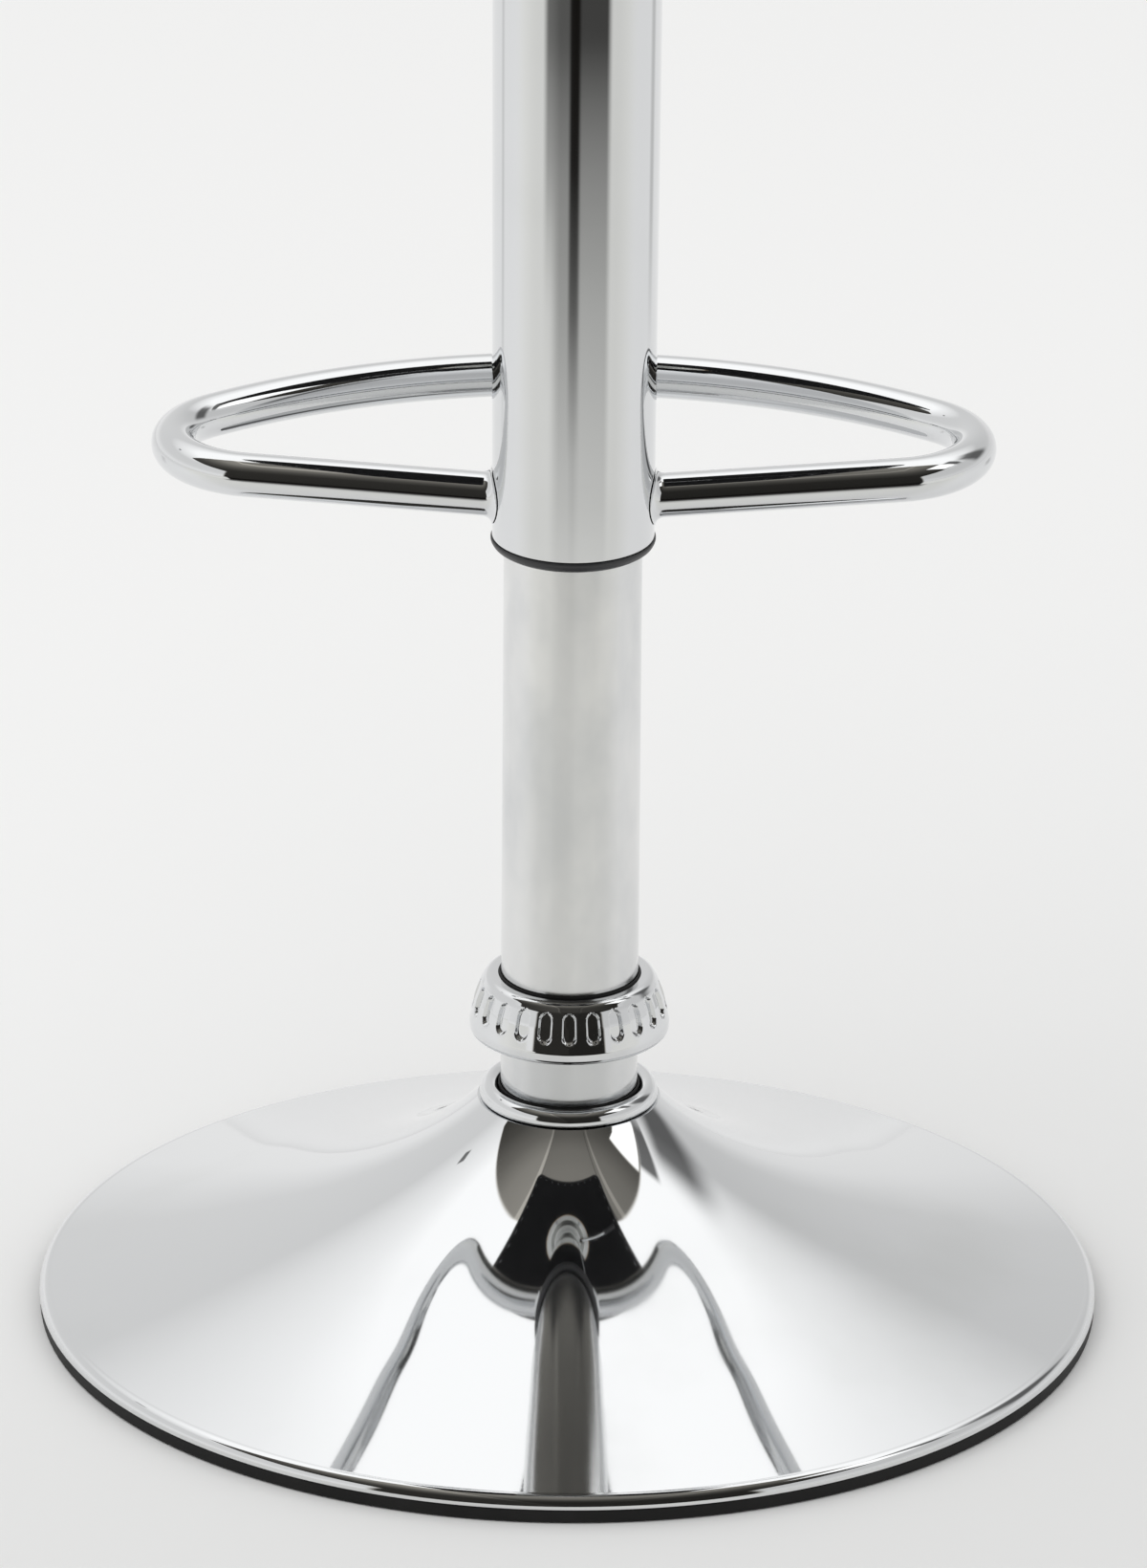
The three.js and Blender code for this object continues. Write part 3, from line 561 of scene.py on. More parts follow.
def copies_along_tree():
    """Copies of a shape laid along a path, each turned a little off it."""
    sizes = [("Shape", "Object"), ("Spacing", "Float"), ("Slant", "Float"), ("Finish", "Material")]
    graph, given = new_tree("copies along a path", sizes)
    path = graph.geometry("MeshToCurve", Mesh=given["Geometry"])
    points = graph.add("GeometryNodeCurveToPoints", {"mode": "LENGTH"}, {
        "Curve": path, "Length": given["Spacing"],
    }, output="Points")
    tangent = Signal(graph, points.socket.node.outputs["Tangent"])
    shape = graph.add("GeometryNodeObjectInfo", inputs={"Object": given["Shape"]}, output="Geometry")
    along = graph.add("FunctionNodeAlignRotationToVector", {"axis": "X", "pivot_axis": "Z"}, {
        "Vector": tangent,
    })
    wander = graph.add("FunctionNodeRandomValue", {"data_type": "FLOAT"}, {
        "Min": given["Slant"] * -1, "Max": given["Slant"], "Seed": 7,
    }, output="Value")
    slant = graph.add("ShaderNodeCombineXYZ", inputs={"Z": wander})
    turned = graph.add("FunctionNodeRotateRotation", {"rotation_space": "LOCAL"}, {
        "Rotation": along, "Rotate By": slant,
    })
    copies = graph.geometry("InstanceOnPoints", Points=points, Instance=shape, Rotation=turned)
    return finish_tree(graph, copies, given["Finish"])


SWEPT_BAR = swept_bar_tree()
TURNED_COPIES = turned_copies_tree()
COPIES_ALONG = copies_along_tree()


def run_tree(piece, tree, **sizes):
    """Runs a geometry tree on a piece and keeps its result as a plain mesh with smooth faces."""
    modifier = piece.modifiers.new(tree.name, "NODES")
    modifier.node_group = tree
    sockets = {item.name: item.identifier for item in tree.interface.items_tree if item.in_out == "INPUT"}
    for label, value in sizes.items():
        modifier[sockets[label.replace("_", " ")]] = value
    plain_mesh(piece)
    for polygon in piece.data.polygons:
        polygon.use_smooth = True


def path_object(name, points, closed):
    """A path of edges through points in millimetres."""
    last = len(points) if closed else len(points) - 1
    edges = [(i, (i + 1) % len(points)) for i in range(last)]
    mesh = bpy.data.meshes.new(name)
    mesh.from_pydata([point * MM for point in points], edges, [])
    return add_object(name, mesh)


def swept_bar(name, points, closed, radius, sides, finish):
    path = path_object(name, points, closed)
    run_tree(path, SWEPT_BAR, Bar_Radius=radius * MM, Sides=sides, Finish=FINISHES[finish])
    return path


# Standing pieces


def flare(steps):
    """The outside of the base from its neck to where the rim's roll begins."""
    neck, shoulder = Vector((NECK_RADIUS, NECK_HEIGHT)), Vector((RIM_RADIUS - RIM_ROLL, SHOULDER_HEIGHT))
    first = neck + NECK_REACH * Vector((math.cos(NECK_SLOPE), -math.sin(NECK_SLOPE)))
    last = shoulder + RIM_REACH * Vector((-math.cos(RIM_SLOPE), math.sin(RIM_SLOPE)))
    handles = [neck, first, Vector(FLARE_MIDDLE), last, shoulder]
    found = []
    for k in range(steps + 1):
        t = k / steps
        weights = [math.comb(4, i) * (1 - t) ** (4 - i) * t ** i for i in range(5)]
        found.append(sum((handle * weight for handle, weight in zip(handles, weights)), Vector((0, 0))))
    return found


def roll(inset, steps):
    """The rim's roll, from its shoulder down to its lip."""
    width, height = RIM_ROLL - inset, SHOULDER_HEIGHT - LIP_HEIGHT - inset
    quarter = [math.pi / 2 * k / steps for k in range(1, steps + 1)]
    return [
        Vector((RIM_RADIUS - RIM_ROLL + width * math.sin(a), LIP_HEIGHT + height * math.cos(a)))
        for a in quarter
    ]


def inset_outline(points, distance):
    """An outline drawn in towards its right-hand side."""
    drawn = []
    for i, point in enumerate(points):
        along = (points[min(i + 1, len(points) - 1)] - points[max(i - 1, 0)]).normalized()
        drawn.append(point + distance * Vector((along.y, -along.x)))
    return drawn


def trumpet_base():
    """The spun shell, from its neck over the rim's roll and back up inside."""
    inner = [point for point in inset_outline(flare(40), BASE_WALL) if point.y < NECK_HEIGHT - BASE_WALL]
    edge = [Vector((NECK_HOLE, NECK_HEIGHT - BASE_WALL)), Vector((NECK_HOLE, NECK_HEIGHT))]
    wall = [*edge, *flare(110), *roll(0, 10), *reversed(roll(BASE_WALL, 6)), *reversed(inner)]
    return lathe("trumpet_shell", wall, "chrome", 192)


def rim_rubber():
    top = LIP_HEIGHT - SEAT_GAP
    outer = RIM_RADIUS - SEAT_GAP
    profile = [
        (outer - 11, 0), (outer, 0), (outer, top), (outer - 1.5, top),
        (outer - 2.7, top + 2.2), (outer - 11, top + 2.2),
    ]
    return lathe("rim_ring", soften(profile, 1.2), "rubber", 192)


def neck_ring():
    inner, outer, foot, height = COLLAR_BORE, 32.6, NECK_HEIGHT + SEAT_GAP, 5.8
    shares = [(0, 0), (1, 0), (1, 0.35), (0.88, 0.72), (0.6, 0.98), (0.35, 1), (0, 0.74)]
    profile = [(inner + (outer - inner) * across, foot + height * up) for across, up in shares]
    return lathe("neck_bezel", soften(profile, 1.4, 4), "chrome", 128)


def sleeve(name, foot, shoulder, top, rounding):
    """A thin rubber sleeve round the column."""
    profile = [(SLEEVE_BORE, foot), (SLEEVE_RADIUS, foot), (SLEEVE_RADIUS, shoulder), (SLEEVE_BORE, top)]
    return lathe(name, soften(profile, rounding), "rubber", 128)


def column_seal():
    foot = NECK_HEIGHT + SEAT_GAP
    return sleeve("column_wiper", foot, foot + 4.8, foot + 5.4, 0.5)


def collar_liner():
    top = COLLAR_FOOT + COLLAR_TALL + 0.9
    return sleeve("collar_sleeve", COLLAR_FOOT, top - 0.3, top, 0.4)


def column_tube():
    profile = [
        (COLUMN_BORE, COLUMN_FOOT), (COLUMN_RADIUS, COLUMN_FOOT),
        (COLUMN_RADIUS, COLUMN_TOP), (COLUMN_BORE, COLUMN_TOP),
    ]
    return lathe("column_pipe", soften(profile, 0.5), "satin_chrome", 128)


def collar_outline(steps):
    """The collar's side from the inside of its foot to the inside of its top, in even steps."""
    width = COLLAR_RADIUS - COLLAR_BORE
    shares = [(0, 0), (0.9, 0), (1, 0.05), (1, 0.18), (0.8, 0.6), (0.6, 0.86), (0.4, 1), (0, 1)]
    keys = [(COLLAR_BORE + width * across, COLLAR_FOOT + COLLAR_TALL * up) for across, up in shares]
    side = soften(keys, 1.6, 5, closed=False)
    lengths = [(b - a).length for a, b in zip(side, side[1:])]
    total = sum(lengths)
    found = []
    for k in range(steps + 1):
        left = total * k / steps
        i = 0
        while i < len(lengths) - 1 and left > lengths[i]:
            left -= lengths[i]
            i += 1
        found.append(side[i].lerp(side[i + 1], min(1, left / lengths[i])))
    return found


def stop_collar():
    """One sector of the collar with its sunk pocket, turned round the column."""
    columns, rows = 34, 74
    pocket_width, pocket_tall, pocket_depth = 5.4, 11, 1.6
    pocket_lip, pocket_blur = 0.2, 0.75
    middle = COLLAR_FOOT + COLLAR_TALL * 0.6
    straight = (pocket_tall - pocket_width) / 2
    outline = collar_outline(rows)
    bm = bmesh.new()
    grid = []
    for j in range(columns + 1):
        angle = math.pi / POCKETS * (2 * j / columns - 1)
        strip = []
        for point in outline:
            up = max(0, abs(point.y - middle) - straight)
            outside = math.hypot(COLLAR_RADIUS * angle, up) - pocket_width / 2
            share = min(1, max(0, (pocket_lip - outside) / pocket_blur))
            radius = point.x - pocket_depth * share * share * (3 - 2 * share)
            strip.append(bm.verts.new(polar(radius * MM, angle - math.pi / 2, point.y * MM)))
        grid.append(strip)
    skin(bm, grid)
    collar = settle("collar_sector", bm, "chrome")
    run_tree(collar, TURNED_COPIES, Copies=POCKETS, Weld=1e-5, Finish=FINISHES["chrome"])
    return settle("collar_with_pockets", take_mesh(collar), "chrome", sharp=50)


# Rising pieces


def widening(height):
    """How much wider the bell is at a height than at its foot."""
    return BELL_FLARE * (height - BELL_FOOT) / (BELL_TOP - BELL_FOOT)


def bell_radius(height):
    return BELL_RADIUS + widening(height)


def bell_tube():
    profile = [
        (BELL_BORE, BELL_FOOT), (BELL_RADIUS, BELL_FOOT),
        (BELL_RADIUS + BELL_FLARE, BELL_TOP), (BELL_BORE + BELL_FLARE, BELL_TOP),
    ]
    return lathe("bell_cover", soften(profile, 0.4), "chrome", 160)


def bell_ring():
    foot = BELL_FOOT - 4.5
    profile = [
        (25.5, foot), (26.8, foot), (28.9, foot + 1.3), (29.8, foot + 3), (29.8, foot + 4.2),
        (27.5, foot + 4.2), (27.5, foot + 14.2), (25.5, foot + 14.2),
    ]
    return lathe("bell_foot_ring", soften(profile, 1.0, 4), "black_plastic", 128)


def bell_cap():
    foot, ledge, bore = 660, 675, CYLINDER_RADIUS + SEAT_GAP
    outer = BELL_BORE + widening(foot) - SEAT_GAP
    profile = [
        (bore, ledge), (outer - 1.8, ledge), (outer - 1.8, foot),
        (outer, foot), (outer, BELL_TOP), (bore, BELL_TOP),
    ]
    return lathe("bell_top_cap", soften(profile, 1.0), "zinc", 96)


def taper_socket():
    bore, foot, top = CYLINDER_RADIUS + SEAT_GAP, BELL_TOP + SEAT_GAP, 697.7
    profile = [(bore, foot), (SOCKET_RADIUS, foot), (SOCKET_RADIUS, top), (bore - 0.9, top)]
    return lathe("taper_hub", soften(profile, 0.5), "zinc", 96)


def level_arc(centre, radius, first, last, steps):
    """Points on a level arc from one angle to another."""
    return [centre + polar(radius, first + (last - first) * k / steps) for k in range(steps + 1)]


def footrest_path():
    """The loop's centreline from the right arm round to the left, in millimetres."""
    corner_x = LOOP_HALF_WIDTH - LOOP_CORNER
    rise = corner_x * math.sin(LOOP_SWEEP) + LOOP_CORNER
    corner_y = rise / math.cos(LOOP_SWEEP) - LOOP_SET_FORWARD
    to_arc = LOOP_DEPTH - corner_y
    chord = corner_x ** 2 + to_arc ** 2 - LOOP_CORNER ** 2
    arc_radius = chord / (2 * (to_arc - LOOP_CORNER))
    arc_y = LOOP_DEPTH - arc_radius
    bend_end = math.atan2(corner_y - arc_y, corner_x)
    corner = Vector((corner_x, corner_y, LOOP_HEIGHT))
    bend = level_arc(corner, LOOP_CORNER, LOOP_SWEEP - math.pi / 2, bend_end, 24)
    front = level_arc(Vector((0, arc_y, LOOP_HEIGHT)), arc_radius, bend_end, math.pi / 2, 30)
    arm = [arm_point(ARM_START).lerp(bend[0], k / 12) for k in range(12)]
    points = [*arm, *bend, *front[1:]]
    return points + [Vector((-point.x, point.y, point.z)) for point in reversed(points[:-1])]


def arm_point(beyond):
    """A point on the right arm's centreline, so far out of the bell."""
    x = bell_radius(LOOP_HEIGHT) + beyond * math.cos(LOOP_SWEEP)
    return Vector((x, x * math.tan(LOOP_SWEEP) - LOOP_SET_FORWARD, LOOP_HEIGHT))


def to_bell(offset, side):
    """Where a line along an arm, offset from its centreline, meets the bell, and the way out from there."""
    base = arm_point(0) + ACROSS_ARM * offset[0] + Vector((0, 0, offset[1]))
    radius = bell_radius(base.z) + SEAT_GAP
    b = base.x * ALONG_ARM.x + base.y * ALONG_ARM.y
    c = base.x ** 2 + base.y ** 2 - radius ** 2
    hit = base + ALONG_ARM * (-b + math.sqrt(max(0, b * b - c)))
    return Vector((side * hit.x, hit.y, hit.z)), Vector((side * ALONG_ARM.x, ALONG_ARM.y, 0))


def weld_ends(bm):
    """Carries each open end of the loop to the bell through a rippled weld fillet."""
    reach, throat, ripples, ripple_share = 3.4, 2.6, 26, 0.035
    stages = [(LOOP_TUBE, reach + 1.2), (LOOP_TUBE, reach)]
    for k in range(1, 8):
        a = math.pi / 2 * k / 7
        stages.append((LOOP_TUBE + throat * (1 - math.cos(a)), reach * (1 - math.sin(a))))
    stages += [(LOOP_TUBE + throat * 0.6, 0), (LOOP_TUBE * 0.6, 0)]
    for side in (1, -1):
        border = [e for e in bm.edges if e.is_boundary and e.verts[0].co.x * side > 0]
        ring = {}
        for vert in {v for e in border for v in e.verts}:
            local = Vector((vert.co.x / MM * side, vert.co.y / MM, vert.co.z / MM)) - arm_point(ARM_START)
            ring[vert] = math.atan2(local.z, local.dot(ACROSS_ARM))
        for width, out in stages:
            made = bmesh.ops.extrude_edge_only(bm, edges=border)["geom"]
            fresh = {v for v in made if isinstance(v, bmesh.types.BMVert)}
            following = {}
            for vert, angle in ring.items():
                twin = next(e.other_vert(vert) for e in vert.link_edges if e.other_vert(vert) in fresh)
                ripple = 1 + ripple_share * math.sin(ripples * angle) * (width > LOOP_TUBE) * (out > 0)
                spread = LOOP_TUBE + (width - LOOP_TUBE) * ripple
                hit, along = to_bell((spread * math.cos(angle), spread * math.sin(angle)), side)
                twin.co = (hit + along * out) * MM
                following[twin] = angle
            ring = following
            border = [e for e in made if isinstance(e, bmesh.types.BMEdge)]
            border = [e for e in border if e.verts[0] in ring and e.verts[1] in ring]
        bmesh.ops.holes_fill(bm, edges=border)


def footrest_loop():
    bm = take_mesh(swept_bar("footrest_path", footrest_path(), False, LOOP_TUBE, 40, "chrome"))
    weld_ends(bm)
    return settle("footrest_bar", bm, "chrome", sharp=55)


# Seat mechanism


def add_bar(bm, radius, length, sides, matrix):
    """Adds a round bar, in millimetres, to a mesh in the making."""
    bmesh.ops.create_cone(
        bm, cap_ends=True, segments=sides, radius1=radius * MM, radius2=radius * MM,
        depth=length * MM, matrix=matrix,
    )


def add_box(bm, sizes, matrix):
    """Adds a box, in millimetres, to a mesh in the making."""
    fit = matrix @ Matrix.Diagonal((*(size * MM for size in sizes), 1))
    corners = bmesh.ops.create_cube(bm, size=1)["verts"]
    bmesh.ops.transform(bm, matrix=fit, verts=corners)


def seat_plate():
    """The pressed pan, cut for the lever and its screws."""
    rise, hole = FLANGE_TOP - PAN_HEIGHT, SOCKET_RADIUS + SEAT_GAP
    profile = [
        (hole, 0), (40, 0), (54, rise - 2), (PLATE_RADIUS, rise - 2),
        (PLATE_RADIUS, rise), (52, rise), (38, 2), (hole, 2),
    ]
    shape = [(radius, PAN_HEIGHT + up) for radius, up in soften(profile, 1.6, 4)]
    pan = lathe("seat_pan", shape, "zinc", 128)
    bm = bmesh.new()
    add_box(bm, (22, 10, 17.7), moved(49, 0, PAN_HEIGHT + 8.55))
    for place in screw_places():
        add_bar(bm, 3.1, 6, 32, moved(place.x, place.y, 711))
    carve(pan, settle("pan_cutter", bm, "zinc"))
    return pan


def screw_places():
    return [polar(SCREW_CIRCLE, math.tau * (k + 0.5) / 4) for k in range(4)]


def seat_screws():
    """Pan-head screws with a cross recess, turned copies of one."""
    head, foot = 5.04, 706.2
    profile = [
        (0, 0.0), (head * 0.55, 0.1), (head * 0.85, 0.6), (head, 1.7), (head, 3.2), (2.8, 3.2),
        (2.8, 12), (2.1, 14.2), (0, 14.7),
    ]
    screw = lathe("seat_screw_set", [(radius, foot + up) for radius, up in soften(profile, 0.4)], "steel", 32)
    for turn in (0, math.pi / 2):
        bm = bmesh.new()
        add_box(bm, (5.2, 1.1, 3.2), moved(0, 0, foot) @ Matrix.Rotation(turn, 4, "Z"))
        carve(screw, settle("recess", bm, "steel"))
    place = screw_places()[0]
    screw.data.transform(moved(place.x, place.y, 0))
    run_tree(screw, TURNED_COPIES, Copies=4, Weld=1e-6, Finish=FINISHES["steel"])
    return screw


def lever_path():
    """The lever's centreline, which drops from its pivot to the height of its grip."""
    stretches = [-30, 10, 17, 28, 40, 54, 76, 90, 134]
    shares = [0, 0, 0.18, 0.44, 0.68, 0.86, 1, 1, 1]
    keys = [Vector((x, 0, -LEVER_DROP * share)) for x, share in zip(stretches, shares)]
    return [point + Vector(LEVER_PIVOT) for point in curve_through(keys, [8] * (len(keys) - 1))]


def curve_through(keys, steps):
    """Points on the centripetal curve through a row of keys, with so many steps from each to the next."""
    ends = [keys[0] * 2 - keys[1], *keys, keys[-1] * 2 - keys[-2]]
    found = [catmull(ends[i:i + 4], k / count) for i, count in enumerate(steps) for k in range(count)]
    return [*found, keys[-1]]


def catmull(keys, t):
    """A point on the centripetal curve between the middle two of four keys."""
    times = [0.0]
    for a, b in zip(keys, keys[1:]):
        times.append(times[-1] + max((b - a).length, 1e-6) ** 0.5)
    at = times[1] + (times[2] - times[1]) * t
    level = keys
    for starts, ends in ((times, times[1:]), (times, times[2:]), (times[1:], times[2:])):
        level = [
            a.lerp(b, (at - start) / (end - start))
            for a, b, start, end in zip(level, level[1:], starts, ends)
        ]
    return level[0]


def crossways(radius, length, sides):
    """A round bar across the lever at its pivot, in millimetres."""
    bm = bmesh.new()
    add_bar(bm, radius, length, sides, moved(*LEVER_PIVOT) @ Matrix.Rotation(math.pi / 2, 4, "X"))
    return bm


def lever_rod():
    bm = take_mesh(swept_bar("lever_path", lever_path(), False, LEVER_RADIUS, 28, "chrome"))
    bmesh.ops.holes_fill(bm, edges=[edge for edge in bm.edges if edge.is_boundary])
    lever = settle("lever_bar", bm, "chrome")
    carve(lever, settle("lever_boss", crossways(5.2, 9, 40), "chrome"), "UNION")
    carve(lever, settle("pin_hole", crossways(2.3, 14, 24), "chrome"))
    return lever


def lever_grip():
    """A moulded sleeve with finger ribs and a round nose."""
    inner, outer, length = 3.8, 6.5, 44
    side = [(outer - 1, 0), (outer, 1.5)]
    for k in range(6):
        at = 8 + k * 4.4
        side += [(outer, at), (outer - 0.55, at + 0.9), (outer - 0.55, at + 1.7), (outer, at + 2.6)]
    side += [(outer, length - 4), (outer * 0.8, length - 1), (outer * 0.4, length), (0, length)]
    profile = [(inner, 0), *side, (0, length - 4), (inner, length - 4)]
    fit = moved(120.3, 0, LEVER_PIVOT[2] - LEVER_DROP) @ Matrix.Rotation(math.pi / 2, 4, "Y")
    return lathe("lever_handle", soften(profile, 0.8, 3), "black_plastic", 48, fit)


# Seat


def seat_outline(inset, corner):
    """A four-sided outline with round corners, as evenly spaced points."""
    half_x, half_y = SEAT_WIDTH / 2 - inset, SEAT_DEPTH / 2 - inset
    corner = min(corner, half_x, half_y)
    sides = [2 * (half_x - corner), 2 * (half_y - corner)]
    arc = corner * math.pi / 2
    total = 2 * (sum(sides) + 2 * arc)
    stretches = []
    for x, y, quarter in [(1, 1, 0), (-1, 1, 1), (-1, -1, 2), (1, -1, 3)]:
        stretches.append(("arc", arc, x, y, quarter))
        stretches.append(("side", sides[quarter % 2], x, y, quarter))
    found = []
    for k in range(OUTLINE_POINTS):
        left = total * k / OUTLINE_POINTS
        for kind, length, x, y, quarter in stretches:
            if left <= length or (kind, quarter) == ("side", 3):
                break
            left -= length
        share = left / length if length else 0
        turn = math.pi / 2 * (quarter + (share if kind == "arc" else 1))
        point = Vector((x * (half_x - corner), y * (half_y - corner), 0)) + corner * polar(1, turn)
        if kind == "side":
            point += left * polar(1, math.pi / 2 * (quarter + 2))
        found.append(point)
    return found


def side_keys():
    """Inset and height of the cushion's outside, from the foot of its skirt to its crown."""
    side = SEAT_TOP - SEAT_FOOT
    bulge = [(0.0, 1), (0.04, 0.4), (0.1, 0), (0.24, 0.25), (0.3, 1), (0.36, 0.3), (0.52, 0), (0.66, 0.35)]
    crown = [(0.02, 0.8), (0.06, 0.86), (0.12, 0.9), (0.25, 0.945), (0.45, 0.98), (0.7, 0.996), (0.98, 1.0)]
    keys = [Vector((2.6 * inset, SEAT_FOOT + side * up, 0)) for up, inset in bulge]
    return keys + [Vector((SEAT_DEPTH / 2 * across, SEAT_FOOT + side * up, 0)) for across, up in crown]


def cushion_levels():
    """Inset and height of each ring, closer together where the cushion turns."""
    return curve_through(side_keys(), [2, 3, 4, 5, 5, 5, 5, 5, 4, 4, 4, 5, 6, 5])


def cushion_ring(inset, height):
    """The cushion's outline at an inset. The top's inner rings are smaller copies of one another."""
    flat = 60
    corner = SEAT_CORNER - inset if inset < 4 else SEAT_CORNER * 0.85
    ring = seat_outline(min(inset, flat), corner)
    if inset > flat:
        ring = [point * (SEAT_DEPTH / 2 - inset) / (SEAT_DEPTH / 2 - flat) for point in ring]
    return [Vector((point.x, point.y, height)) for point in ring]


def loft(rings, top):
    """Rings of points in millimetres joined into a closed skin, with one point at its top."""
    bm = bmesh.new()
    rows = [[bm.verts.new(point * MM) for point in ring] for ring in rings]
    skin(bm, rows + [[bm.verts.new(top * MM)] * len(rows[0])])
    bm.faces.new(list(reversed(rows[0])))
    return bm


def stuffed_form(levels):
    """The padding under its cover, blown up a little by a cloth simulation."""
    shrink, steps, furthest = 3.0, 20, 9 * MM
    across, along, down = 1 - shrink / (SEAT_WIDTH / 2), 1 - shrink / (SEAT_DEPTH / 2), shrink * 0.7
    rings = [
        [Vector((p.x * across, p.y * along, p.z - down)) for p in cushion_ring(level.x, level.y)]
        for level in levels if level.y > SEAT_FOOT + 3
    ]
    form = settle("padding", loft(rings, Vector((0, 0, SEAT_TOP - down))), "vinyl")
    remesh = form.modifiers.new("even", "REMESH")
    remesh.mode = "VOXEL"
    remesh.voxel_size = 5.5 * MM
    plain_mesh(form)
    rest = [v.co.copy() for v in form.data.vertices]
    tacked = form.vertex_groups.new(name="tacked edge")
    held_below = (SEAT_FOOT + 14) * MM
    tacked.add([v.index for v in form.data.vertices if v.co.z < held_below], 1.0, "REPLACE")
    cover = form.modifiers.new("cover", "CLOTH")
    cover.settings.use_pressure = True
    cover.settings.uniform_pressure_force = 4
    cover.settings.effector_weights.gravity = 0
    cover.settings.vertex_group_mass = tacked.name
    cover.settings.quality = 5
    cover.point_cache.frame_start = 1
    cover.point_cache.frame_end = steps
    for step in range(1, steps + 1):
        bpy.context.scene.frame_set(step)
        bpy.context.view_layer.update()
    plain_mesh(form)
    bpy.context.scene.frame_set(1)
    for vertex, start in zip(form.data.vertices, rest):
        move = vertex.co - start
        if move.length > furthest:
            vertex.co = start + move.normalized() * furthest
    return form


def seat_cushion():
    """The covered pad with its recess for the board, a piped seam and a sewn top seam."""
    levels = cushion_levels()
    rings = [cushion_ring(level.x, level.y) for level in levels]
    bm = take_mesh(stuffed_form(levels))
    form = BVHTree.FromBMesh(bm)
    bm.free()
    rings = [puffed(ring, form) for ring in rings]
    rings = [sewn(ring, level) for ring, level in zip(rings, levels)]
    inner = [cushion_ring(SKIRT_WALL, RECESS_TOP), cushion_ring(SKIRT_WALL, SEAT_FOOT)]
    top = Vector((0, 0, max(point.z for point in rings[-1]) + 0.02))
    return settle("seat_pad", loft([*inner, *rings], top), "vinyl", sharp=60), rings, levels


def puffed(ring, form):
    """Lays a ring on the stuffed form, fully above the piped seam."""
    furthest, sideways = 7, 0.6
    puffed_ring = []
    for point in ring:
        share = min(1, max(0, (point.z - SEAT_FOOT - 24) / 14))
        found = form.find_nearest(point * MM)[0]
        shift = (found / MM - point) if found else Vector()
        if shift.length > furthest:
            shift = shift.normalized() * furthest
        shift.x *= sideways
        shift.y *= sideways
        puffed_ring.append(point + shift * share)
    return puffed_ring


def ring_wave(k, reach, level):
    """Smooth noise that joins up round a ring."""
    return noise.noise(polar(reach, math.tau * k / OUTLINE_POINTS, level))


def sewn(ring, level):
    """Draws the cover in along its top seam, with small puckers on both sides."""
    distance = abs(level.y - TOP_SEAM)
    depth = 1.3 * max(0, 1 - distance / 1.6)
    pucker = 0.35 * max(0, 1 - distance / 9)
    return [
        point - Vector((point.x, point.y, 0)).normalized() * (depth + pucker * ring_wave(k, 34, 1.7))
        for k, point in enumerate(ring)
    ]


def ring_at(rings, levels, height, out):
    """The cushion's ring nearest a height, moved out by a little."""
    ring = min(zip(rings, levels), key=lambda pair: abs(pair[1].y - height))[0]
    return [point + out * Vector((point.x, point.y, 0)).normalized() for point in ring]


def capsule(name, length, radius, finish):
    """A short rounded bar along X, in millimetres."""
    rows = [(-0.5, 0.0), (-0.42, 0.7), (-0.2, 1.0), (0.2, 1.0), (0.42, 0.7), (0.5, 0.0)]
    profile = [(radius * r, length * at) for at, r in rows]
    bm = turn_rings(profile, 6)
    bmesh.ops.transform(bm, matrix=Matrix.Rotation(math.pi / 2, 4, "Y"), verts=bm.verts)
    return settle(name, bm, finish)


def copies_along(name, points, shape, spacing, slant, finish):
    path = path_object(name, points, True)
    run_tree(path, COPIES_ALONG, Shape=shape, Spacing=spacing * MM, Slant=slant, Finish=FINISHES[finish])
    bpy.data.objects.remove(shape)
    return path


def loop_area(loop):
    """The area inside a flat loop given in millimetres, in square metres."""
    return abs(sum(a.x * b.y - b.x * a.y for a, b in zip(loop, loop[1:] + loop[:1]))) / 2 * MM * MM


def dust_cloth():
    """The cloth under the board, hemmed at its edge, with a slight sag."""
    foot, edge, hem = 710.9, SKIRT_WALL + 0.6, (0.004, 0.02)
    outer = seat_outline(edge, SEAT_CORNER - SKIRT_WALL)
    mouth = [polar(PLATE_RADIUS + 2, math.atan2(point.y, point.x)) for point in outer]
    rings = []
    for share in (0, *hem, 0.024, 0.1, 0.2, 0.35, 0.5, 0.65, 0.8, 0.93, 0.97, 1):
        ring = []
        for k, (a, b) in enumerate(zip(outer, mouth)):
            sag = 0.12 * ring_wave(k, 6, share * 3) * math.sin(math.pi * share) - 0.18 * (share in hem)
            ring.append(a.lerp(b, share) + Vector((0, 0, foot + sag)))
        rings.append(ring)
    rings += [[point + Vector((0, 0, FLANGE_TOP)) for point in line] for line in (mouth, outer)]
    bm = bmesh.new()
    rows = [[bm.verts.new(point * MM) for point in ring] for ring in rings]
    skin(bm, rows + rows[:1])
    cut = (SEAT_WIDTH * MM - 2 * edge * MM, SEAT_DEPTH * MM - 2 * edge * MM)
    return settle("dust_cloth", bm, "cloth", sharp=50), cut, loop_area(outer) - loop_area(mouth)


def staples():
    """Wire staples through the dust cloth, just inside its edge."""
    staple = capsule("staple_copy", 10, 0.45, "steel")
    line = [Vector((point.x, point.y, SEAT_FOOT - 0.1)) for point in seat_outline(14, 18)]
    return copies_along("cloth_staples", line, staple, 38, 0.12, "steel")


def piping(rings, levels):
    return swept_bar("seat_piping", ring_at(rings, levels, PIPED_SEAM, 0.6), True, 2.0, 14, "vinyl")


def stitches(rings, levels):
    line = ring_at(rings, levels, TOP_SEAM - 4.6, 0.1)
    stitch = capsule("stitch_copy", 3.4, 0.42, "thread")
    return copies_along("seat_stitches", line, stitch, 4.6, 0.1, "thread")


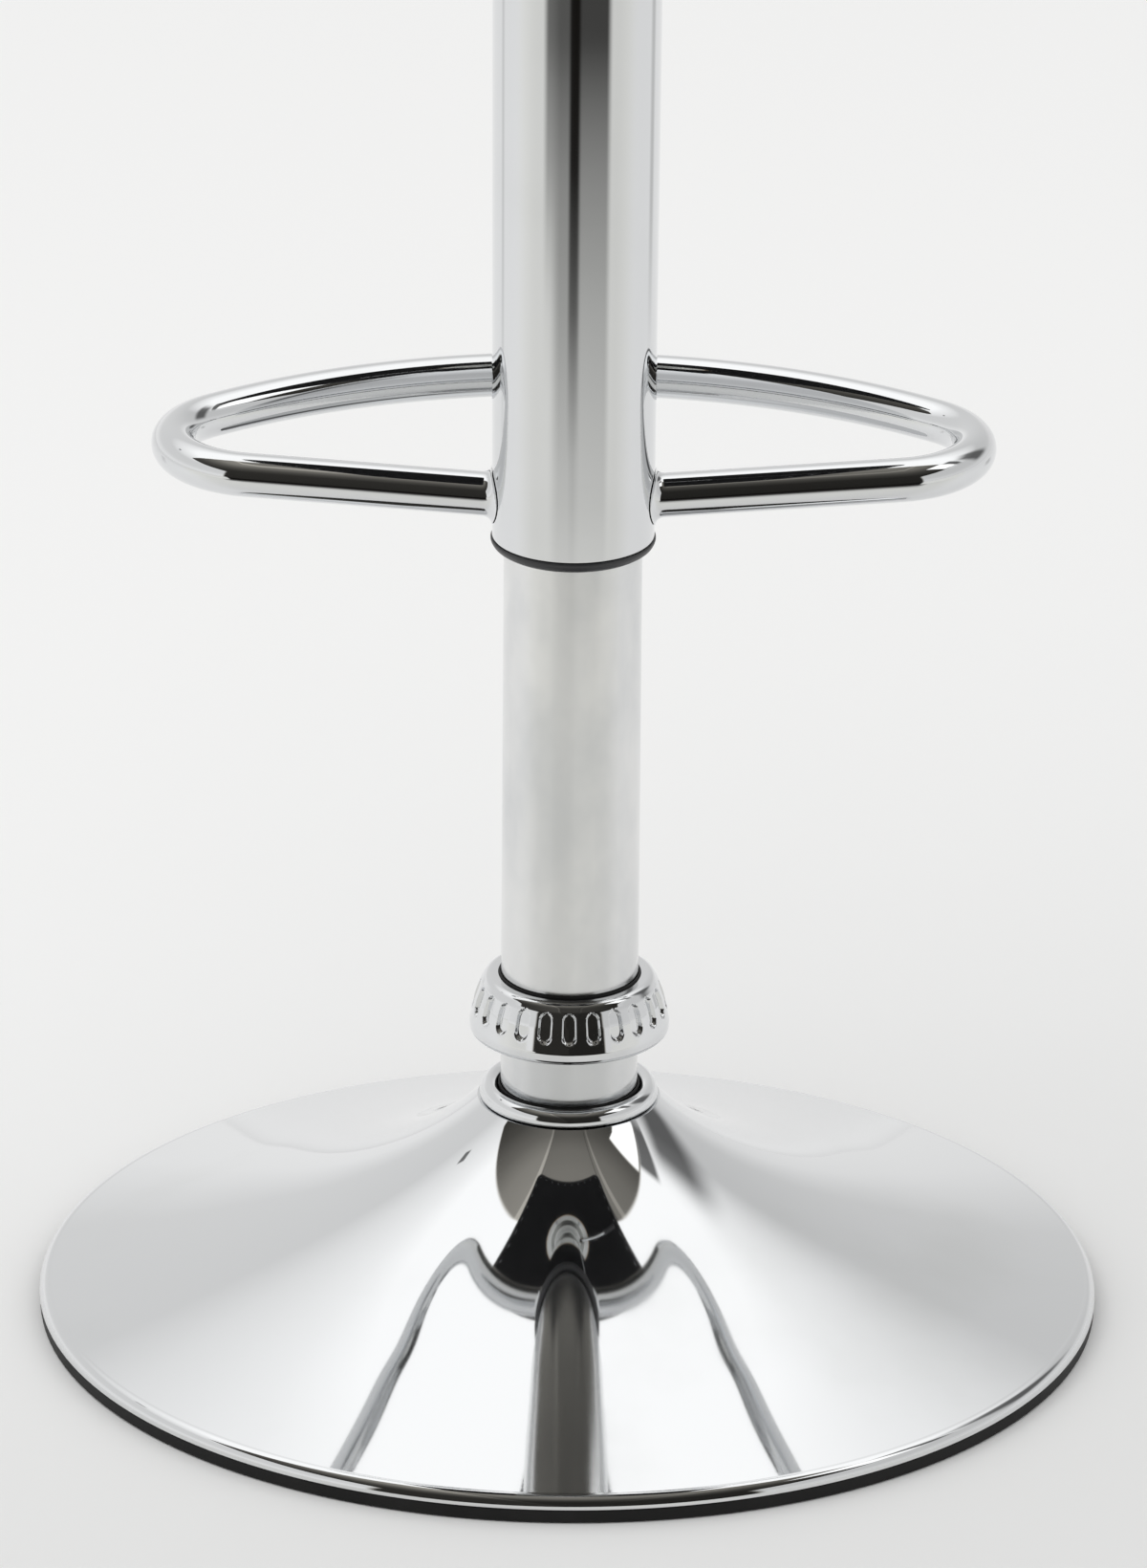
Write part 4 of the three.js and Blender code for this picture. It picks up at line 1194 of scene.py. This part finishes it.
# Assembly


def dress_standing():
    in_place(trumpet_base(), "base", "chrome", "trumpet_base")
    in_place(rim_rubber(), "base", "rubber", "rim_rubber")
    in_place(neck_ring(), "base", "chrome", "neck_ring")
    in_place(column_seal(), "base", "rubber", "column_seal")
    in_place(column_tube(), "base", "satin_chrome", "column_tube")
    in_place(stop_collar(), "base", "chrome", "stop_collar")
    in_place(collar_liner(), "base", "rubber", "collar_liner")


def dress_rising():
    in_place(bell_tube(), "lift", "chrome", "bell_tube")
    in_place(bell_ring(), "lift", "black_plastic", "bell_ring")
    in_place(bell_cap(), "lift", "zinc", "bell_cap")
    in_place(taper_socket(), "lift", "zinc", "taper_socket")
    in_place(footrest_loop(), "lift", "chrome", "footrest_loop")
    in_place(seat_plate(), "lift", "zinc", "seat_plate")
    screws = [f"seat_screw_{k}" for k in range(1, 5)]
    in_place(seat_screws(), "lift", "steel", *screws)


def dress_seat():
    cushion, rings, levels = seat_cushion()
    in_place(cushion, "lift", "vinyl", "seat_cushion")
    in_place(piping(rings, levels), "lift", "vinyl")
    in_place(stitches(rings, levels), "lift", "vinyl")
    cloth, cut, area = dust_cloth()
    in_place(cloth, "lift", "cloth", "dust_cover")
    pins = in_place(staples(), "lift", "steel")


def dress_lever():
    in_place(lever_rod(), "lever", "chrome", "lever_rod")
    in_place(lever_grip(), "lever", "black_plastic", "lever_grip")


def finish_frame_nodes():
    """Gives each node that stays in view the finish of its slot."""
    slots = {part["node"]: part["material_slot"] for part in frame["record"]["subparts"]}
    for name, node in frame["nodes"].items():
        node.data.materials.clear()
        node.data.materials.append(FINISHES[slots[name]])


# Studio


# The share of light that the chrome returns, the brightest level of the tent, and how far the floor's bands
# reach, in metres
CHROME_LEVEL = 0.71
WORLD_TOP = 2.4
FLOOR_REACH = 2.5

# The photograph's viewpoint, in metres and degrees, and its lens, in pixels of a frame of this height
CAMERA_PLACE = (0, -4.779, 2.158)
CAMERA_PITCH = 22.23
CAMERA_ROLL = 0.46
CAMERA_YAW = 0.01
CAMERA_LENS = 14897
FRAME_HEIGHT = 1640
SENSOR_SIZE = 36

# Dark bands on the floor: start and end by bearing from the front in degrees, the blur of both sides, and how
# dark the floor is at a distance in metres
DARK_BANDS = [
    (-42.5, 1, 5, [
        (0.95, 0), (1.07, 0.06), (1.16, 0.23), (1.26, 0.5),
        (1.36, 0.66), (1.42, 0.79), (1.75, 0.85), (2.0, 0),
    ]),
    (-29, 1, 9, [
        (0.75, 0.06), (0.86, 0.22), (0.95, 0.33), (1.07, 0.45),
        (1.16, 0.42), (1.26, 0.3), (1.42, 0.4), (2.0, 0),
    ]),
    (-5, 45.5, 5, [
        (0.73, 0), (0.86, 0.17), (1.07, 0.38), (1.16, 0.5),
        (1.26, 0.64), (1.42, 0.93), (1.75, 0.93), (2.0, 0),
    ]),
    (-9, 4.5, 3, [(0.9, 0), (1.0, 0.3), (1.07, 0.62), (1.16, 0.8), (1.26, 0.96), (1.75, 0.92), (2.0, 0)]),
    (-70, 72, 18, [(0.7, 0.12), (1.75, 0.14), (2.0, 0)]),
    (-122, -116, 3, [(0.8, 0), (1.1, 0.2), (1.75, 0.2), (2.0, 0)]),
    (122, 132, 4, [(1.0, 0), (1.2, 0.3), (1.75, 0.3), (2.0, 0)]),
    (-38, 41, 1.5, [(1.6, 0), (2.0, 1)]),
]


def floor_finish(graph):
    """Pale paper floor, with painted shade that darkens it towards the front. Mirrors see the dark room where
    the paper ends in front.
    """
    x, y, _ = graph.axes(graph.place())
    away = (x * x + y * y).maths("SQRT")
    bearing = x.maths("ARCTAN2", y * -1) * DEGREES
    lit = 1.0
    for start, end, blur, depths in DARK_BANDS:
        lit = lit * (1 - bearing.between(start, end, blur) * graph.ramp(away, 0, FLOOR_REACH, depths))
    # Painted shade: the paper's colour goes darker towards the front of the floor
    pale = graph.tint(y.step(-0.45, 0.35), (0.80, 0.803, 0.80), (0.945, 0.947, 0.945))
    warm = graph.tint(y.step(-0.5, 0.1), (1.0, 0.997, 0.965), (1.0, 1.0, 1.0))
    mirrored = graph.tint(lit, (0.01, 0.009, 0.008), warm)
    glossy = graph.add("ShaderNodeLightPath", output="Is Glossy Ray")
    return graph.surface(Base_Color=graph.tint(glossy, pale, mirrored), Roughness=0.9, Specular_IOR_Level=0.0)


def studio_world():
    """Mirrors see a pale tent with a dark room in front. The camera sees a plain backdrop."""
    world = bpy.data.worlds.new("studio")
    bpy.context.scene.world = world
    world.use_nodes = True
    world.node_tree.nodes.clear()
    graph = Graph(world.node_tree)
    x, y, z = graph.axes(graph.add("ShaderNodeTexCoord", output="Generated"))
    azimuth = x.maths("ARCTAN2", y) * DEGREES
    elevation = z.maths("ARCSINE") * DEGREES
    across, along = x / z.maths("MAXIMUM", 0.02), y / z.maths("MAXIMUM", 0.02)

    # The tent, by elevation, with a darker patch, a dimmer right side, a dark strip and a stand
    profile = [(-10, 0.7), (5, 0.7), (14, 0.60), (31, 0.59), (37, 0.71), (46, 0.84), (52, 0.96), (90, 0.98)]
    levels = [(angle, level / CHROME_LEVEL / WORLD_TOP) for angle, level in profile]
    tent = graph.ramp(elevation, -10, 90, levels) * WORLD_TOP
    patch = azimuth.between(46, 70, 6) * elevation.between(14, 44, 6)
    right_side = azimuth.step(-20, 40) * elevation.step(28, 44, 1.0, 0.0)
    strip = across.step(0.68, 0.76) * along.between(0.1, 0.3, 0.03) * elevation.step(30, 40)
    stand = across.between(-1.16, -1.04, 0.01) * along.between(0.65, 0.74, 0.01)
    tent = tent * (1 - 0.8 * patch) * (1 - 0.16 * right_side) * (1 - 0.85 * strip) * (1 - 0.8 * stand)

    # The room in front of the tent's opening, with its left wall, posts, seams and a softbox
    opening = elevation.step(25, 45, 139, 70)
    front = (abs(azimuth) - opening).step(-1.5, 1.5) * along.step(0.09, 0.12, 1.0, 0.0)
    heights = [(0, 0.02), (35, 0.025), (48, 0.06), (58, 0.12), (66, 0.2), (75, 0.24), (90, 0.26)]
    left_wall = across.step(-0.25, -0.23, 1.0, 0.0)
    posts = across.between(-0.288, -0.258, 0.004) + across.between(0.298, 0.322, 0.004)
    seams = across.between(-0.249, -0.24, 0.003) + across.between(0.262, 0.27, 0.003)
    walls = graph.ramp(elevation, 0, 90, heights)
    room = walls * (1 + 0.45 * left_wall) * (1 + 0.7 * posts) * (1 - 0.45 * seams)
    softbox = across.between(0.66, 1.3, 0.02) * along.between(-0.32, 0.09, 0.01)

    # What mirrors see, what the camera sees and what lights everything else
    mirror = tent * (1 - front) + room * front * (1 - softbox) + softbox * front * 1.5
    glossy = graph.add("ShaderNodeLightPath", output="Is Glossy Ray")
    camera = graph.add("ShaderNodeLightPath", output="Is Camera Ray")
    level = mirror * glossy + 0.93 * camera + 0.86 * (1 - glossy) * (1 - camera)
    colour = graph.tint(front * glossy * (1 - softbox), (1.0, 0.998, 0.993), (1.0, 0.95, 0.85))
    glow = graph.add("ShaderNodeBackground", inputs={"Color": colour, "Strength": level})
    graph.add("ShaderNodeOutputWorld", inputs={"Surface": glow})


def studio_floor():
    """A wide sheet of paper, a hair under the part's foot, in metres."""
    half_width, drop = 30, 0.0002
    bm = bmesh.new()
    bmesh.ops.create_grid(bm, x_segments=1, y_segments=1, size=half_width)
    bmesh.ops.translate(bm, vec=(0, 0, -drop), verts=bm.verts)
    FINISHES["paper_floor"] = make_finish("paper_floor", floor_finish)
    settle("studio_floor", bm, "paper_floor", recalculate=False)


def soft_lamp():
    """A weak lamp to the left that shades the paper under the rim, in metres and watts."""
    place, aim = Vector((-0.9, -0.6, 2.6)), Vector((0, 0, 0.2))
    lamp = bpy.data.lights.new("overhead_softbox", "AREA")
    lamp.shape = "DISK"
    lamp.size = 2.2
    lamp.energy = 12
    holder = add_object("overhead_softbox", lamp)
    holder.location = place
    holder.rotation_euler = (aim - place).to_track_quat("-Z", "Y").to_euler()
    holder.visible_glossy = False


def photo_camera():
    """The photograph's viewpoint: 22 degrees above the floor, with a long lens."""
    pitch, turn, yaw = (math.radians(angle) for angle in (CAMERA_PITCH, CAMERA_ROLL, CAMERA_YAW))
    view = Matrix.Rotation(-yaw, 4, "Z") @ Matrix.Rotation(math.pi / 2 - pitch, 4, "X")
    lens = bpy.data.cameras.new("photo_camera")
    lens.sensor_width = SENSOR_SIZE
    lens.lens = CAMERA_LENS / FRAME_HEIGHT * SENSOR_SIZE
    camera = add_object("photo_camera", lens)
    camera.matrix_world = Matrix.Translation(CAMERA_PLACE) @ view @ Matrix.Rotation(turn, 4, "Z")
    bpy.context.scene.camera = camera


photo_camera()
dress_standing()
dress_rising()
dress_seat()
dress_lever()
finish_frame_nodes()
studio_floor()
studio_world()
soft_lamp()
bpy.context.scene.view_settings.view_transform = "Standard"
